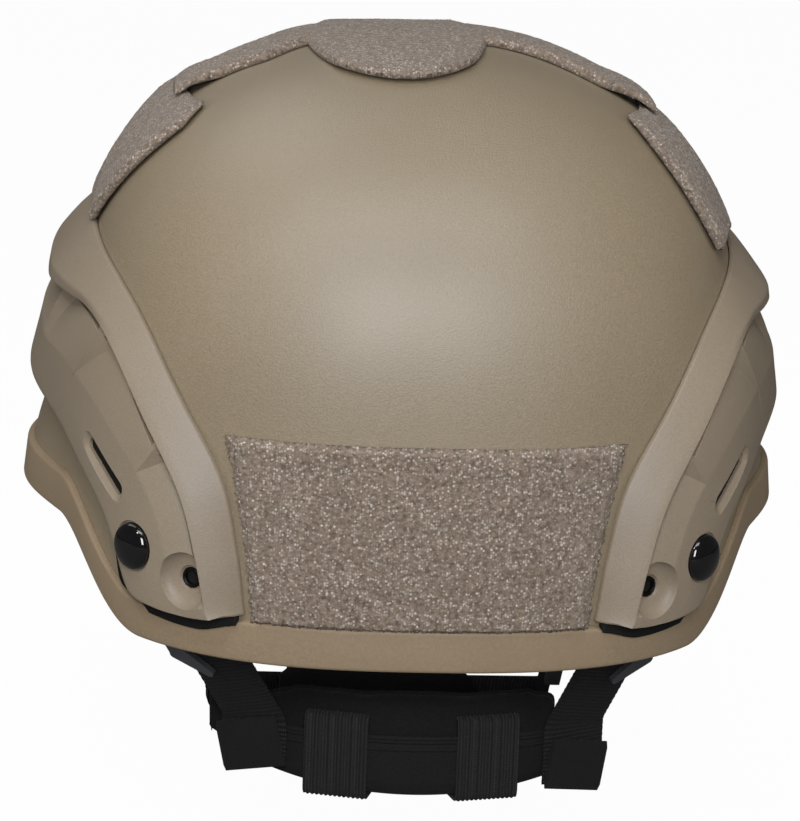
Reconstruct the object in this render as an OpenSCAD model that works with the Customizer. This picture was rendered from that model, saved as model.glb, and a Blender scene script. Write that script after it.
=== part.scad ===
// Combat helmet with side accessory rails, loop panels, padded liner and four-point chin strap.
// The wearer looks along +Y, +X is the wearer's right and +Z is up.
// The origin is where the crown of the head meets the crown pad.
// While it is built, heights are counted from the lowest edge of the shell, at the nape.

/* [Shell] */
// Half of the shell's width, without the swell over the ears
half_w = 112.5; // [104:0.5:122]
// From the middle of the head to the front of the shell
front_l = 136; // [128:1:145]
// From the middle of the head to the back of the shell
rear_l = 134; // [126:1:143]
// From the nape edge up to the crown
shell_h = 180; // [172:1:190]
// Thickness of the shell
wall = 3.5; // [2.5:0.1:5]
// Height of the shell's widest level
waist_z = 73; // [66:1:80]
// How far the shell swells over the ears
ear_flare = 18; // [8:0.5:20]
// Height of the edge over the brow
brow_z = 58; // [52:1:64]
// Height of the edge under the ears
ear_z = 27.5; // [22:0.5:33]

/* [Edge trim] */
// Height of the trim on the outside of the shell
trim_h = 11; // [8:0.5:13]
// Thickness of the trim's rubber
trim_t = 2; // [1.2:0.1:2.6]

/* [Rails] */
// Height of the rail's upper lip over the shell
lip_h = 9.6; // [8:0.2:12]
// Height of the rail's lower body over the shell
body_h = 9.2; // [7.6:0.2:11]
// Height of the channel's floor over the shell
channel_floor = 3.4; // [2.4:0.2:4.4]
// Radius of the accessory hole at the rear of each rail
rail_hole_r = 3.5; // [2.5:0.1:4]
// Width of the long hole in each rail
rail_slot_w = 4; // [2.6:0.2:5]
// Length of the long hole in each rail
rail_slot_l = 24; // [14:1:28]

/* [Screws] */
// Radius of a rail screw's domed head
head_r = 7.8; // [6:0.2:9]
// Height of a rail screw's domed head
head_h = 4.6; // [3:0.2:6]
// Radius of the screw threads
thread_r = 2.5; // [2:0.1:3]
// Radius of the round nuts that pass through the shell
nut_r = 4; // [3.6:0.1:5]

/* [Loop panels] */
// Thickness of the loop panels
loop_t = 3.2; // [1.6:0.1:3.4]
// Length of the crown panel's middle, front to back
crown_l = 122; // [100:1:140]
// Width of the crown panel's middle
crown_w = 60; // [46:1:70]
// Length of the crown panel's arms, side to side
arm_l = 196; // [150:2:204]
// Width of the crown panel's arms
arm_w = 38; // [30:1:44]
// Length of a side panel, front to back
side_l = 102; // [80:2:110]
// Height of a side panel
side_h = 50; // [40:1:52]
// Height of the rear panel
rear_panel_h = 59; // [46:1:62]

/* [Front mount] */
// Width of the front mounting plate
shroud_w = 58; // [48:1:66]
// Height of the front mounting plate
shroud_h = 56; // [44:1:60]
// How far the front mounting plate stands off the shell
shroud_t = 8; // [6.4:0.2:10]
// Width of the dovetail opening in the front mounting plate
socket_w = 24; // [18:1:28]

/* [Pads] */
// Thickness of the liner pads
pad_t = 18; // [12:0.5:22]
// Thickness of the hook discs that hold the pads
hook_t = 1.6; // [1:0.1:2.4]

/* [Webbing] */
// Thickness of the webbing
web_t = 1.6; // [1.2:0.1:2]
// Width of the rear straps
rear_web = 25; // [20:1:28]
// Width of the front, neck and chin straps
web_w = 20; // [16:1:22]
// Distance of the straps from the middle plane beside the jaw
jaw_x = 60; // [54:0.5:66]

/* [Nape pad] */
// Width of the nape pad
nape_w = 110; // [90:1:116]
// Height of the nape pad
nape_h = 33; // [30:1:40]
// Thickness of the nape pad
nape_t = 14; // [9:0.5:16]
// How far the neck harness hangs to the wearer's right
nape_x = 2.5; // [0:0.5:4]

/* [Hidden] */

// Curve powers of the shell: plan outline, dome over the waist, walls under it
plan_pow = 2.62;
dome_pow = 2.42;
low_pow = 3.4;
low_depth = 178;
// The ears' place round the head, counted from the back, and how far the swell spreads
ear_at = 94;
ear_spread = 25;
ear_rise = 63;
// Where the edge drops from brow to ear and from ear to nape, counted from the front
brow_turn = [38, 66];
nape_turn = [112, 138];

// Gap between a fitted piece and what it lies on
seat = 0.3;
// Gap between the shell's inside and the flat pieces on it
seat_in = 0.7;
// Height of the trim's leg inside the shell
inner_leg = 0.45*trim_h;
// Clearance round webbing that runs through a slot
web_gap = 0.4;
// Steps round the shell, and down its outside and inside
around = 64;
down_out = 16;
down_in = 14;

tan_shell = "#a5947b";
tan_rail = "#a3977f";
loop_col = "#a3978a";
webbing_col = "#26282b";
plastic_col = "#3a3d40";
foam_col = "#1f2022";

// Height of the head's crown over the nape edge: this is the origin
seat_z = shell_h - wall - seat_in - hook_t - seat - pad_t;

// A smooth step from 0 at a to 1 at b
function smooth(x, a, b) = let (t = min(1, max(0, (x - a)/(b - a)))) t*t*(3 - 2*t);

// A smooth curve through the list p at x, which counts its entries
function curve(p, x) =
    let (n = len(p) - 1, i = min(n - 1, max(0, floor(x))), t = x - i,
         a = p[max(0, i - 1)], b = p[i], c = p[i + 1], d = p[min(n, i + 2)])
    0.5*(2*b + (c - a)*t + (2*a - 5*b + 4*c - d)*t*t + (3*b - a - 3*c + d)*t*t*t);

// Directions from the middle of the head: r round it from the back, p down from the crown
function ray(r, p) = [sin(p)*sin(r), -sin(p)*cos(r), cos(p)];
function plan_r(r) =
    let (l = abs(r) > 90 ? front_l : rear_l)
    pow(pow(abs(sin(r))/half_w, plan_pow) + pow(abs(cos(r))/l, plan_pow), -1/plan_pow);
function dome_r(r, p) =
    let (a = plan_r(r), s = abs(sin(p)), c = cos(p))
    c >= 0
        ? pow(pow(s/a, dome_pow) + pow(c/(shell_h - waist_z), dome_pow), -1/dome_pow)
        : pow(pow(s/a, low_pow) + pow(-c/low_depth, low_pow), -1/low_pow);
function ear(r) = exp(-pow((abs(r) - ear_at)/ear_spread, 2));
// Distance of the shell's outside from the middle of the head
function shell_r(r, p) =
    let (q = dome_r(r, p), z = waist_z + q*cos(p))
    q + ear_flare*ear(r)*(1 - smooth(z, ear_z - 2, ear_z + ear_rise))*abs(sin(p));
// A point h outside the shell
function on(r, p, h = 0) = ray(r, p)*(shell_r(r, p) + h) + [0, 0, waist_z];
function rim_z(r) =
    let (f = 180 - abs(r))
    brow_z + (ear_z - brow_z)*smooth(f, brow_turn[0], brow_turn[1])
        - ear_z*smooth(f, nape_turn[0], nape_turn[1]);
// The angle down from the crown where the shell's outside is at height z
function down_to(r, z, n = 9, p = 95) =
    n == 0 ? p : down_to(r, z, n - 1, 90 + atan2(waist_z - z, shell_r(r, p)*sin(p)));
function rim_p(r) = down_to(r, rim_z(r));
// The shell's outward normal
function normal(r, p) =
    let (a = on(r + 0.4, p) - on(r - 0.4, p), b = on(r, p + 0.4) - on(r, p - 0.4), n = cross(b, a))
    n/norm(n);
// A point h outside the shell, x across and y up from the direction (r, p), on a patch of
// cloth, foam or plate that follows the shell
function patch(r, p, x, y, h) =
    let (d = ray(r, p)*shell_r(r, p) + x*[cos(r), sin(r), 0] + y*[-cos(p)*sin(r), cos(p)*cos(r), sin(p)],
         q = norm([d.x, d.y]))
    on(atan2(d.x, -d.y), atan2(q, d.z), h);

function unit(v) = v/norm(v);
function flipped(f, flip) = [for (t = f) flip ? [t[2], t[1], t[0]] : t];

// A closed solid between two grids of points that face each other
module slab(top, bot) {
    n = len(top);
    m = len(top[0]);
    i0 = floor(n/2) - 1;
    j0 = floor(m/2) - 1;
    side = cross(top[i0 + 1][j0] - top[i0][j0], top[i0][j0 + 1] - top[i0][j0])
        *(top[i0][j0] - bot[i0][j0]);
    function t(i, j) = i*m + j;
    function b(i, j) = (n + i)*m + j;
    faces = [
        for (i = [0:n - 2], j = [0:m - 2]) each [
            [t(i, j), t(i + 1, j), t(i + 1, j + 1)], [t(i, j), t(i + 1, j + 1), t(i, j + 1)],
            [b(i, j), b(i + 1, j + 1), b(i + 1, j)], [b(i, j), b(i, j + 1), b(i + 1, j + 1)]
        ],
        for (i = [0:n - 2]) each [
            [b(i, 0), b(i + 1, 0), t(i + 1, 0)], [b(i, 0), t(i + 1, 0), t(i, 0)],
            [b(i, m - 1), t(i + 1, m - 1), b(i + 1, m - 1)], [b(i, m - 1), t(i, m - 1), t(i + 1, m - 1)]
        ],
        for (j = [0:m - 2]) each [
            [b(0, j + 1), b(0, j), t(0, j)], [b(0, j + 1), t(0, j), t(0, j + 1)],
            [b(n - 1, j), b(n - 1, j + 1), t(n - 1, j + 1)], [b(n - 1, j), t(n - 1, j + 1), t(n - 1, j)]
        ]
    ];
    polyhedron([for (g = [top, bot], row = g) each row], flipped(faces, side > 0));
}

// Flat webbing of width w along a path of points, with the direction across it at each point
module web(path, across, w, t = web_t) {
    n = len(path);
    dirs = [for (i = [0:n - 1]) unit(path[min(n - 1, i + 1)] - path[max(0, i - 1)])];
    wide = [for (i = [0:n - 1]) unit(across[i] - (across[i]*dirs[i])*dirs[i])];
    out = [for (i = [0:n - 1]) cross(dirs[i], wide[i])];
    slab([for (i = [0:n - 1]) [for (s = [-0.5, 0.5]) path[i] + s*w*wide[i] + t/2*out[i]]],
         [for (i = [0:n - 1]) [for (s = [-0.5, 0.5]) path[i] + s*w*wide[i] - t/2*out[i]]]);
}

// Puts pieces on the shell, with +Z along its normal and +X down the shell
module fixed_at(r, z, h = 0) {
    p = down_to(r, z);
    n = normal(r, p);
    translate(on(r, p) + h*n)
        rotate([0, acos(n.z), atan2(n.y, n.x)])
            children();
}

module at_seat() {
    translate([0, 0, -seat_z]) children();
}

// Shell

// The rail screws, as [place round the head from the back, height]: rear and front
screw_rear = [39.5, 30.6];
screw_front = [138, 88];
rail_screw_places = [for (s = [-1, 1]) each [[s*screw_rear[0], screw_rear[1]], [s*screw_front[0], screw_front[1]]]];
// The front mounting plate's middle and its three screws
shroud_z = 104;
mount_screw_places = [[180, shroud_z + 20], [171, shroud_z - 20], [-171, shroud_z - 20]];

module shell() {
    rs = [for (i = [0:around - 1]) -180 + 360*i/around];
    // The last row but one runs along the end of the trim's leg on that side
    function row(k, n, leg, h) =
        [for (r = rs) let (p = rim_p(r), q = p - leg/shell_r(r, p)*180/PI) on(r, k == n ? p : q*k/(n - 1), h)];
    rows = [
        for (k = [1:down_out]) row(k, down_out, trim_h, 0),
        for (k = [down_in:-1:1]) row(k, down_in, inner_leg, -wall)
    ];
    n = len(rows);
    pts = [for (row = rows) each row, on(0, 0), on(0, 0, -wall)];
    function v(k, i) = k*around + (i % around);
    faces = [
        for (k = [0:n - 2], i = [0:around - 1]) each [
            [v(k, i), v(k, i + 1), v(k + 1, i + 1)], [v(k, i), v(k + 1, i + 1), v(k + 1, i)]
        ],
        for (i = [0:around - 1]) each [
            [n*around, v(0, i + 1), v(0, i)], [n*around + 1, v(n - 1, i), v(n - 1, i + 1)]
        ]
    ];
    color(tan_shell) difference() {
        at_seat() polyhedron(pts, faces);
        at_seat() {
            for (q = rail_screw_places)
                fixed_at(q[0], q[1], -3*wall) cylinder(h = 5*wall, r = nut_r + 0.15, $fn = 32);
            for (q = mount_screw_places)
                fixed_at(q[0], q[1], -3*wall) cylinder(h = 5*wall, r = nut_r + 0.15, $fn = 32);
        }
    }
}

// Rubber trim round the shell's edge: a channel with a long outer leg and a short inner leg
module edge_trim() {
    inside = -wall - seat;
    // Each corner is how far it lies past the shell's edge, then how far outside the shell
    profile = [
        [-trim_h, seat], [-trim_h, seat + 0.6*trim_t], [-trim_h + 0.8, seat + trim_t],
        [0.6*trim_t, seat + trim_t], [trim_t, seat + 0.4*trim_t],
        [trim_t, inside - 0.4*trim_t], [0.6*trim_t, inside - trim_t],
        [-inner_leg, inside - 0.8*trim_t], [-inner_leg, inside], [seat, inside], [seat, seat]
    ];
    m = len(profile);
    pts = [
        for (i = [0:around - 1])
            let (r = -180 + 360*i/around, p = rim_p(r), q = shell_r(r, p))
                for (c = profile) on(r, p + c[0]/q*180/PI, c[1])
    ];
    function v(i, j) = (i % around)*m + (j % m);
    faces = [
        for (i = [0:around - 1], j = [0:m - 1]) each [
            [v(i, j), v(i + 1, j), v(i + 1, j + 1)], [v(i, j), v(i + 1, j + 1), v(i, j + 1)]
        ]
    ];
    color("#a08c6f") at_seat() polyhedron(pts, faces);
}

// Side rails

// The rail's two long edges, from its rear end to its front end, each as
// [place round the head of the upper edge, its height, place of the lower edge, its height]
rail_edges = [
    [24, 15.6, 38.5, 16], [24.3, 18.6, 42.6, 18], [25.2, 34, 45.4, 30], [27.6, 56, 48.6, 40],
    [33.2, 76, 54, 48.5], [41.4, 98, 61, 55.5], [50, 109.5, 69, 60], [62, 116, 78, 62.5],
    [79, 119.5, 90, 63.5], [99, 120.5, 105, 65], [118, 118, 122, 71], [133, 112, 136, 76],
    [143, 102, 144, 82]
];
// Where the channel starts, as a share of the rail's width, at the same places
channel_at = [0.22, 0.22, 0.22, 0.22, 0.2, 0.18, 0.21, 0.31, 0.4, 0.43, 0.42, 0.4, 0.4];
// Places along the rail where a bridge crosses the channel, each as [its crest, how long its ramp is,
// how far its crest and its foot lean along the rail on their way down to the crease]
bridges = [
    [3.78, 0.27, -0.26, 0], [5.5, 0.35, 0, 0.35], [7.4, 0.4, 0, 0.05], [9.3, 0.4, -0.1, 0.25], [11.2, 0.4, -0.1, 0.25]
];
rail_end = len(rail_edges) - 1;

// How far the rail swells at the side of the head, from 0 to 1, and its two heights there
function swell(s) = smooth(s, 5, 7.4)*(1 - smooth(s, 9.8, 11.3));
function lip_at(s) = lip_h + 3.6*smooth(s, 6.2, 7.8)*(1 - smooth(s, 9.8, 11.3));
function body_at(s) = body_h + 2.2*swell(s);
// Where the body's crease runs, as a share of the width
function crease_at(s) = 0.44 + 0.11*smooth(s, 3.8, 5.4) + 0.09*smooth(s, 5.8, 7.2);

function next_bridge(s) = [for (b = concat(bridges, [[20, 7, 0, 0]])) if (b[0] >= s) b][0];
function last_bridge(s) = let (past = [for (b = bridges) if (b[0] < s) b]) len(past) > 0 ? past[len(past) - 1] : [-1, 0, 0, 0];
function on_ramp(s) = let (b = next_bridge(s)) s >= b[0] - b[1];
// Along the rail from one bridge to the next: 0 just past a bridge, 1 at the foot of the next one's ramp
function past_bridge(s) =
    let (b = next_bridge(s), a = last_bridge(s))
    on_ramp(s) ? (b[0] - s)/b[1] : (s - a[0])/(b[0] - b[1] - a[0]);
// How far the outside leans along the rail on its way down from the channel to the crease
function lean(s) =
    let (b = next_bridge(s), a = last_bridge(s), f = past_bridge(s))
    b[3]*f + (on_ramp(s) ? b[2] : a[2])*(1 - f);

// How high the channel's lower side stands: it falls to the foot of each ramp and climbs it to the bridge
step_fall = 3.4;
function step_h(s) = body_at(s) - 0.6 - 4*swell(s) - step_fall*past_bridge(s);
// How far the channel has closed: wholly before the rail's rear end
function closed(s) = 1 - smooth(s, 0.67, 1);

// The rail's outside across its width at s, as [share of the width, height over the shell]
function rail_profile(s) =
    let (m = curve(channel_at, s), c = crease_at(s), top = lip_at(s), b = body_at(s),
         e = step_h(s) + closed(s)*(top - 0.2 - step_h(s)),
         facet = 1.8*smooth(s, 4.8, 6.4), k = 0.82 + 0.18*smooth(s, 0, 0.3)*smooth(rail_end - s, 0, 0.8),
         floor_h = channel_floor + (e*k - 0.1 - channel_floor)*closed(s))
    [
        [0, 1.4], [0.12*m, 2.4], [0.5*m, 1.9 + 0.5*(top - 1.7)*k], [0.8*m, 1.9 + 0.82*(top - 1.7)*k],
        [m - 0.006, (top - facet)*k], [m + 0.006, floor_h],
        [m + 0.036, floor_h], [m + 0.044, e*k], [(m + c)/2, (e + b)/2*k],
        [c, b*k], [(1 + c)/2, b*k], [0.93, (b - 0.7)*k], [0.98, (b - 2.4)*k],
        [1, (b - 4.4)*k]
    ];

// Samples along the rail, close together where a bridge ends in a step
rail_steps = [
    for (i = [0:rail_end - 1]) each [for (f = [0, 0.34, 0.67]) if (!near_bridge(i + f)) i + f],
    rail_end - 0.15, rail_end,
    for (b = bridges) each [b[0] - b[1], b[0], b[0] + 0.1]
];
function near_bridge(s) = min([for (b = bridges) min(abs(s - b[0] - 0.03), abs(s - b[0] + b[1]))]) < 0.12;
function sorted(a) =
    len(a) < 2 ? a : let (p = a[floor(len(a)/2)])
        concat(sorted([for (x = a) if (x < p) x]), [p], sorted([for (x = a) if (x > p) x]));

function rail_point(s, v, h) =
    let (e = curve(rail_edges, s), p0 = down_to(e[0], e[1]), p1 = down_to(e[2], e[3]))
    on(e[0] + (e[2] - e[0])*v, p0 + (p1 - p0)*v, h);
// The rear end is undercut: near the shell it draws in
function undercut(s, h) = 0.45*max(0, 1 - s)*max(0, 1 - h/4);
// A point of the outside, where each bridge's crest and foot lean on their way down to the crease
function outer_point(s, v, h) =
    let (m = curve(channel_at, s), c = crease_at(s), down = v < c ? (v - m)/(c - m) : (1 - v)/(1 - c))
    rail_point(s + undercut(s, h) + lean(s)*max(0, down), v, h);

// The rail's accessory hole and long hole, as [place round the head, height]
rail_hole = [31.1, 23.6];
slot_mid = [46.2, 52.8];
slot_tilt = -57;

// The space over the rail's lip, down to the channel, where the hole's dish doesn't reach
module lip_side() {
    function at_h(s, v, h) = rail_point(s, v < 0 ? v : curve(channel_at, s) + 0.05, h);
    slab([for (s = [0:0.5:4]) [for (v = [-0.6, 1]) at_h(s, v, 30)]], [for (s = [0:0.5:4]) [for (v = [-0.6, 1]) at_h(s, v, -1)]]);
}

module rail() {
    steps = sorted(rail_steps);
    difference() {
        slab([for (s = steps) [for (c = rail_profile(s)) outer_point(s, c[0], c[1])]],
             [for (s = steps) [for (c = rail_profile(s)) rail_point(s + undercut(s, 0), 0.94*c[0], seat + 0.1)]]);
        for (q = [screw_rear, screw_front]) {
            fixed_at(q[0], q[1], -1) cylinder(h = 30, r = thread_r + 0.3, $fn = 32);
            fixed_at(q[0], q[1], head_seat_h) cylinder(h = 30, r = head_r + 0.4, $fn = 48);
        }
        fixed_at(rail_hole[0], rail_hole[1], -1) cylinder(h = 30, r = rail_hole_r, $fn = 40);
        difference() {
            fixed_at(rail_hole[0], rail_hole[1], body_h - 3.6) {
                cylinder(h = 1, r1 = 1.2*rail_hole_r, r2 = 2.5*rail_hole_r, $fn = 48);
                translate([0, 0, 0.99]) cylinder(h = 20, r1 = 2.5*rail_hole_r, r2 = 4*rail_hole_r, $fn = 48);
            }
            lip_side();
        }
        fixed_at(slot_mid[0], slot_mid[1], -2) rotate([0, 0, slot_tilt]) {
            long = rail_slot_l - rail_slot_w;
            translate([-long/2, -rail_slot_w/2, 0]) cube([long, rail_slot_w, 30]);
            for (s = [-1, 1])
                translate([s*long/2, 0, 0]) cylinder(h = 30, r = rail_slot_w/2, $fn = 24);
        }
    }
}

module rail_right() {
    color(tan_rail) at_seat() rail();
}

module rail_left() {
    color(tan_rail) at_seat() mirror([1, 0, 0]) rail();
}

// Screws and nuts

// Height over the shell of the seat under a rail screw's head
head_seat_h = body_h - 1.2;
// Depth of the strap anchors' plate under the shell's inside, and its thickness
anchor_gap = 4.9;
anchor_t = 1.5;
nut_flange_t = 1.5;
nut_flange_r = nut_r + 4;
// Where a nut's flange lies, under the shell's outside
rail_nut_in = wall + anchor_gap + anchor_t + 0.1;
mount_nut_in = wall + 1.1;

// A domed screw whose head sits at height h over the shell, with a nut under it
module domed_screw(h, long, r, tall) {
    ball = (r*r + tall*tall)/(2*tall);
    translate([0, 0, h + 0.05]) rotate_extrude($fn = 64)
        intersection() {
            translate([0, tall - ball]) circle(ball, $fn = 96);
            square([r, tall]);
        }
    translate([0, 0, h + 0.1 - long]) cylinder(h = long, r = thread_r - 0.05, $fn = 32);
}

module round_nut(depth, top) {
    difference() {
        union() {
            translate([0, 0, -depth - nut_flange_t]) cylinder(h = nut_flange_t, r = nut_flange_r, $fn = 40);
            translate([0, 0, -depth - 0.2]) cylinder(h = depth + top + 0.2, r = nut_r, $fn = 32);
        }
        translate([0, 0, -depth - 5]) cylinder(h = depth + 20, r = thread_r, $fn = 32);
    }
}

module rail_screws() {
    long = head_seat_h + wall + 3;
    color("#141414") at_seat() for (q = rail_screw_places)
        fixed_at(q[0], q[1]) domed_screw(head_seat_h, long, head_r, head_h);
}

module rail_nuts() {
    color("#303030") at_seat() for (q = rail_screw_places)
        fixed_at(q[0], q[1]) round_nut(rail_nut_in, -0.3);
}

module mount_screws() {
    color("#141414") at_seat() for (q = mount_screw_places)
        fixed_at(q[0], q[1]) domed_screw(0.62*shroud_t, 0.62*shroud_t + wall + 1.6, 4.4, 2.2);
}

module mount_nuts() {
    color("#303030") at_seat() for (q = mount_screw_places)
        fixed_at(q[0], q[1]) round_nut(mount_nut_in, -0.3);
}

// Loop panels

// A square of -1 to 1 drawn out to a half width a and half height b: 1 rounds it to an ellipse
function rounded(u, v, a, b, k) = [a*u*sqrt(1 - k*v*v/2), b*v*sqrt(1 - k*u*u/2)];

module crown_loop() {
    mid_y = 0;
    nu = 13;
    nv = 7;
    // The middle lobe, and an arm at each side that starts at its edge
    color(loop_col) at_seat() {
        difference() {
            lobe(nu, nv, -7, mid_y, crown_w/2, crown_l/2);
            for (s = [-1, 1])
                arm(s, 3);
        }
        for (s = [-1, 1])
            arm(s, 0);
    }
}

module lobe(nu, nv, x0, y0, a, b) {
    function at_h(u, v, h) =
        let (q = rounded(v, u, a, b, 0.9))
        patch(0, 0, x0 + q[0], y0 + q[1], h + 1.2*pow(max(abs(u), 0), 6));
    us = [for (i = [0:nu - 1]) -1 + 2*i/(nu - 1)];
    vs = [for (j = [0:nv - 1]) -1 + 2*j/(nv - 1)];
    slab([for (u = us) [for (v = vs) at_h(u, v, seat + loop_t)]], [for (u = us) [for (v = vs) at_h(u, v, seat)]]);
}

// One arm of the crown panel, x out from its middle: where its rear edge runs
function arm_rear(side, x) = side < 0 ? -2 - 13*smooth(x, 36, 56) : -4 - 20*smooth(x, 25, 72);

// The arm rises over the side panel's upper edge; grow makes it thicker for cutting its place in the lobe
module arm(side, grow) {
    n = 10;
    x_in = side < 0 ? 7 + crown_w/2 - 6 : crown_w/2 - 13;
    function at_h(u, v, h) =
        let (x = x_in + (arm_l/2 - x_in)*u, wide = arm_w*(1 - 0.1*u), lift = (loop_t + 0.5)*smooth(u, 0.66, 0.88))
        patch(0, 0, side*x, arm_rear(side, x) + wide*(v + 1)/2, h + lift);
    us = [for (i = [0:n - 1]) (i - (grow > 0 && i == 0 ? 0.3 : 0))/(n - 1)];
    vs = [-1 - grow*0.02, -0.5, 0, 0.5, 1 + grow*0.02];
    slab([for (u = us) [for (v = vs) at_h(u, v, seat + loop_t + grow)]],
         [for (u = us) [for (v = vs) at_h(u, v, seat - grow)]]);
}

// Where a side panel's rear edge runs, p down from the crown, and its front edge, round from the back
function side_rear(side, p) = side < 0 ? 57.5 + 0.9*max(0, p - 48) : 50.5;
side_front = 50.5 + side_l*0.68;
side_mid = 53.4;

// The side panels lie between the rails and the crown panel's arms, with their ends a little lifted
module side_loop(side) {
    nu = 12;
    nv = 8;
    function at_h(u, v, h) =
        let (q = rounded(u, v, 1, 1, 0.4), p = side_mid - q[1]*side_h/4.08 + 3.4*(1 - smooth(q[0], -1, -0.5))*max(0, -q[1]),
             rear = side_rear(side, p))
        on((rear + side_front)/2 + q[0]*(side_front - rear)/2, p, h + 1.4*smooth(u*u, 0.45, 1));
    us = [for (i = [0:nu - 1]) -1 + 2*i/(nu - 1)];
    vs = [for (j = [0:nv - 1]) -1 + 2*j/(nv - 1)];
    slab([for (u = us) [for (v = vs) at_h(u, v, seat + loop_t)]], [for (u = us) [for (v = vs) at_h(u, v, seat)]]);
}

module side_loop_right() {
    color(loop_col) at_seat() side_loop(1);
}

module side_loop_left() {
    color(loop_col) at_seat() mirror([1, 0, 0]) side_loop(-1);
}

// The rear panel fills the space between the rails, from the trim up
module rear_loop() {
    low = trim_h + 0.8;
    nu = 15;
    nv = 7;
    function at_h(u, v, h) =
        let (z = low + rear_panel_h*v, wide = 22.9 + 4.2*pow(v, 1.6))
        on(u*wide, down_to(u*wide, z), h);
    us = [for (i = [0:nu - 1]) -1 + 2*i/(nu - 1)];
    vs = [for (j = [0:nv - 1]) j/(nv - 1)];
    color(loop_col) at_seat()
        slab([for (u = us) [for (v = vs) at_h(u, v, seat + loop_t)]], [for (u = us) [for (v = vs) at_h(u, v, seat)]]);
}

// Front mounting plate with an open dovetail socket
module front_mount() {
    p0 = down_to(180, shroud_z);
    nu = 9;
    nv = 9;
    function at_h(u, v, h) =
        let (q = rounded(u, v, shroud_w/2*(1 - 0.12*v), shroud_h/2, 0.3),
             edge = 1 - 0.45*pow(max(abs(u), abs(v)), 8))
        patch(180, p0, q[0], q[1], h*edge);
    us = [for (i = [0:nu - 1]) sin(90*(-1 + 2*i/(nu - 1)))];
    color(tan_rail) at_seat() difference() {
        slab([for (u = us) [for (v = us) at_h(u, v, shroud_t)]], [for (u = us) [for (v = us) at_h(u, v, seat/0.55)]]);
        for (q = mount_screw_places) {
            fixed_at(q[0], q[1], -1) cylinder(h = 30, r = thread_r + 0.3, $fn = 32);
            fixed_at(q[0], q[1], 0.62*shroud_t) cylinder(h = 30, r = 4.8, $fn = 40);
        }
        fixed_at(180, shroud_z, 0.35*shroud_t) rotate([0, 0, 90]) linear_extrude(height = 30)
            polygon([[-socket_w/2, -14], [socket_w/2, -14], [socket_w/2 - 3, 16], [-socket_w/2 + 3, 16]]);
    }
}

// Liner pads and the hook discs that hold them

// [place round the head, angle down, half width, half height, roundness]
function pad_spec(name) =
    name == "crown" ? [0, 0, 50, 50, 1] :
    name == "front" ? [180, down_to(180, brow_z + 41), 60, 27, 0.45] :
    name == "rear" ? [0, down_to(0, 47), 56, 28, 0.45] :
    name == "temple" ? [111, 68, 25, 38, 0.55] : [66, 68, 25, 38, 0.55];

module pad(name) {
    s = pad_spec(name);
    nu = name == "crown" ? 13 : 9;
    nv = name == "crown" ? 13 : 9;
    top = -wall - seat_in - hook_t - seat;
    function bulge(u, v) = (1 - pow(abs(u), 5))*(1 - pow(abs(v), 5));
    function at_h(u, v, t) =
        let (k = bulge(u, v), shrink = 1 - 0.05*t*(1 - k), q = rounded(u, v, s[2]*shrink, s[3]*shrink, s[4]))
        patch(s[0], s[1], q[0], q[1], top - t*pad_t*(0.45 + 0.55*k) - (1 - t)*2.5*(1 - k));
    us = [for (i = [0:nu - 1]) sin(90*(-1 + 2*i/(nu - 1)))];
    vs = [for (j = [0:nv - 1]) sin(90*(-1 + 2*j/(nv - 1)))];
    slab([for (u = us) [for (v = vs) at_h(u, v, 1)]], [for (u = us) [for (v = vs) at_h(u, v, 0)]]);
}

module pad_crown() {
    color(foam_col) at_seat() pad("crown");
}

module pad_front() {
    color(foam_col) at_seat() pad("front");
}

module pad_rear() {
    color(foam_col) at_seat() pad("rear");
}

module pad_temple_right() {
    color(foam_col) at_seat() pad("temple");
}

module pad_temple_left() {
    color(foam_col) at_seat() mirror([1, 0, 0]) pad("temple");
}

module pad_side_right() {
    color(foam_col) at_seat() pad("side");
}

module pad_side_left() {
    color(foam_col) at_seat() mirror([1, 0, 0]) pad("side");
}

// One thin disc for each pad, stuck to the inside of the shell
module pad_hooks() {
    module disc(s, k) {
        function at_h(u, v, h) =
            let (q = rounded(u, v, k, k, 1))
            patch(s[0], s[1], q[0], q[1], h);
        us = [-1, -0.6, 0, 0.6, 1];
        slab([for (u = us) [for (v = us) at_h(u, v, -wall - seat_in)]],
             [for (u = us) [for (v = us) at_h(u, v, -wall - seat_in - hook_t)]]);
    }
    color("#2b2c2e") at_seat() {
        for (name = ["crown", "front", "rear"])
            disc(pad_spec(name), name == "crown" ? 24 : 17);
        for (name = ["temple", "side"], s = [-1, 1])
            disc([s*pad_spec(name)[0], pad_spec(name)[1]], 15);
    }
}

// Straps

// The strap anchors are plates under the nuts, with a slot for the strap at the lower end
anchor_slot = nut_flange_r + 5;
slot_t = web_t + 2.2;
bar = 3;
// Middle of the bar that a strap goes round, and the radius of the strap's turn round it
anchor_bar_x = anchor_slot + slot_t/2 + bar/2;
function wrap(thick) = norm([bar, thick])/2 + 0.25 + web_t/2;
turn_r = wrap(anchor_t);
rear_web_places = [[-screw_rear[0], screw_rear[1]], [screw_rear[0], screw_rear[1]]];
front_web_places = [[-screw_front[0], screw_front[1]], [screw_front[0], screw_front[1]]];

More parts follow.
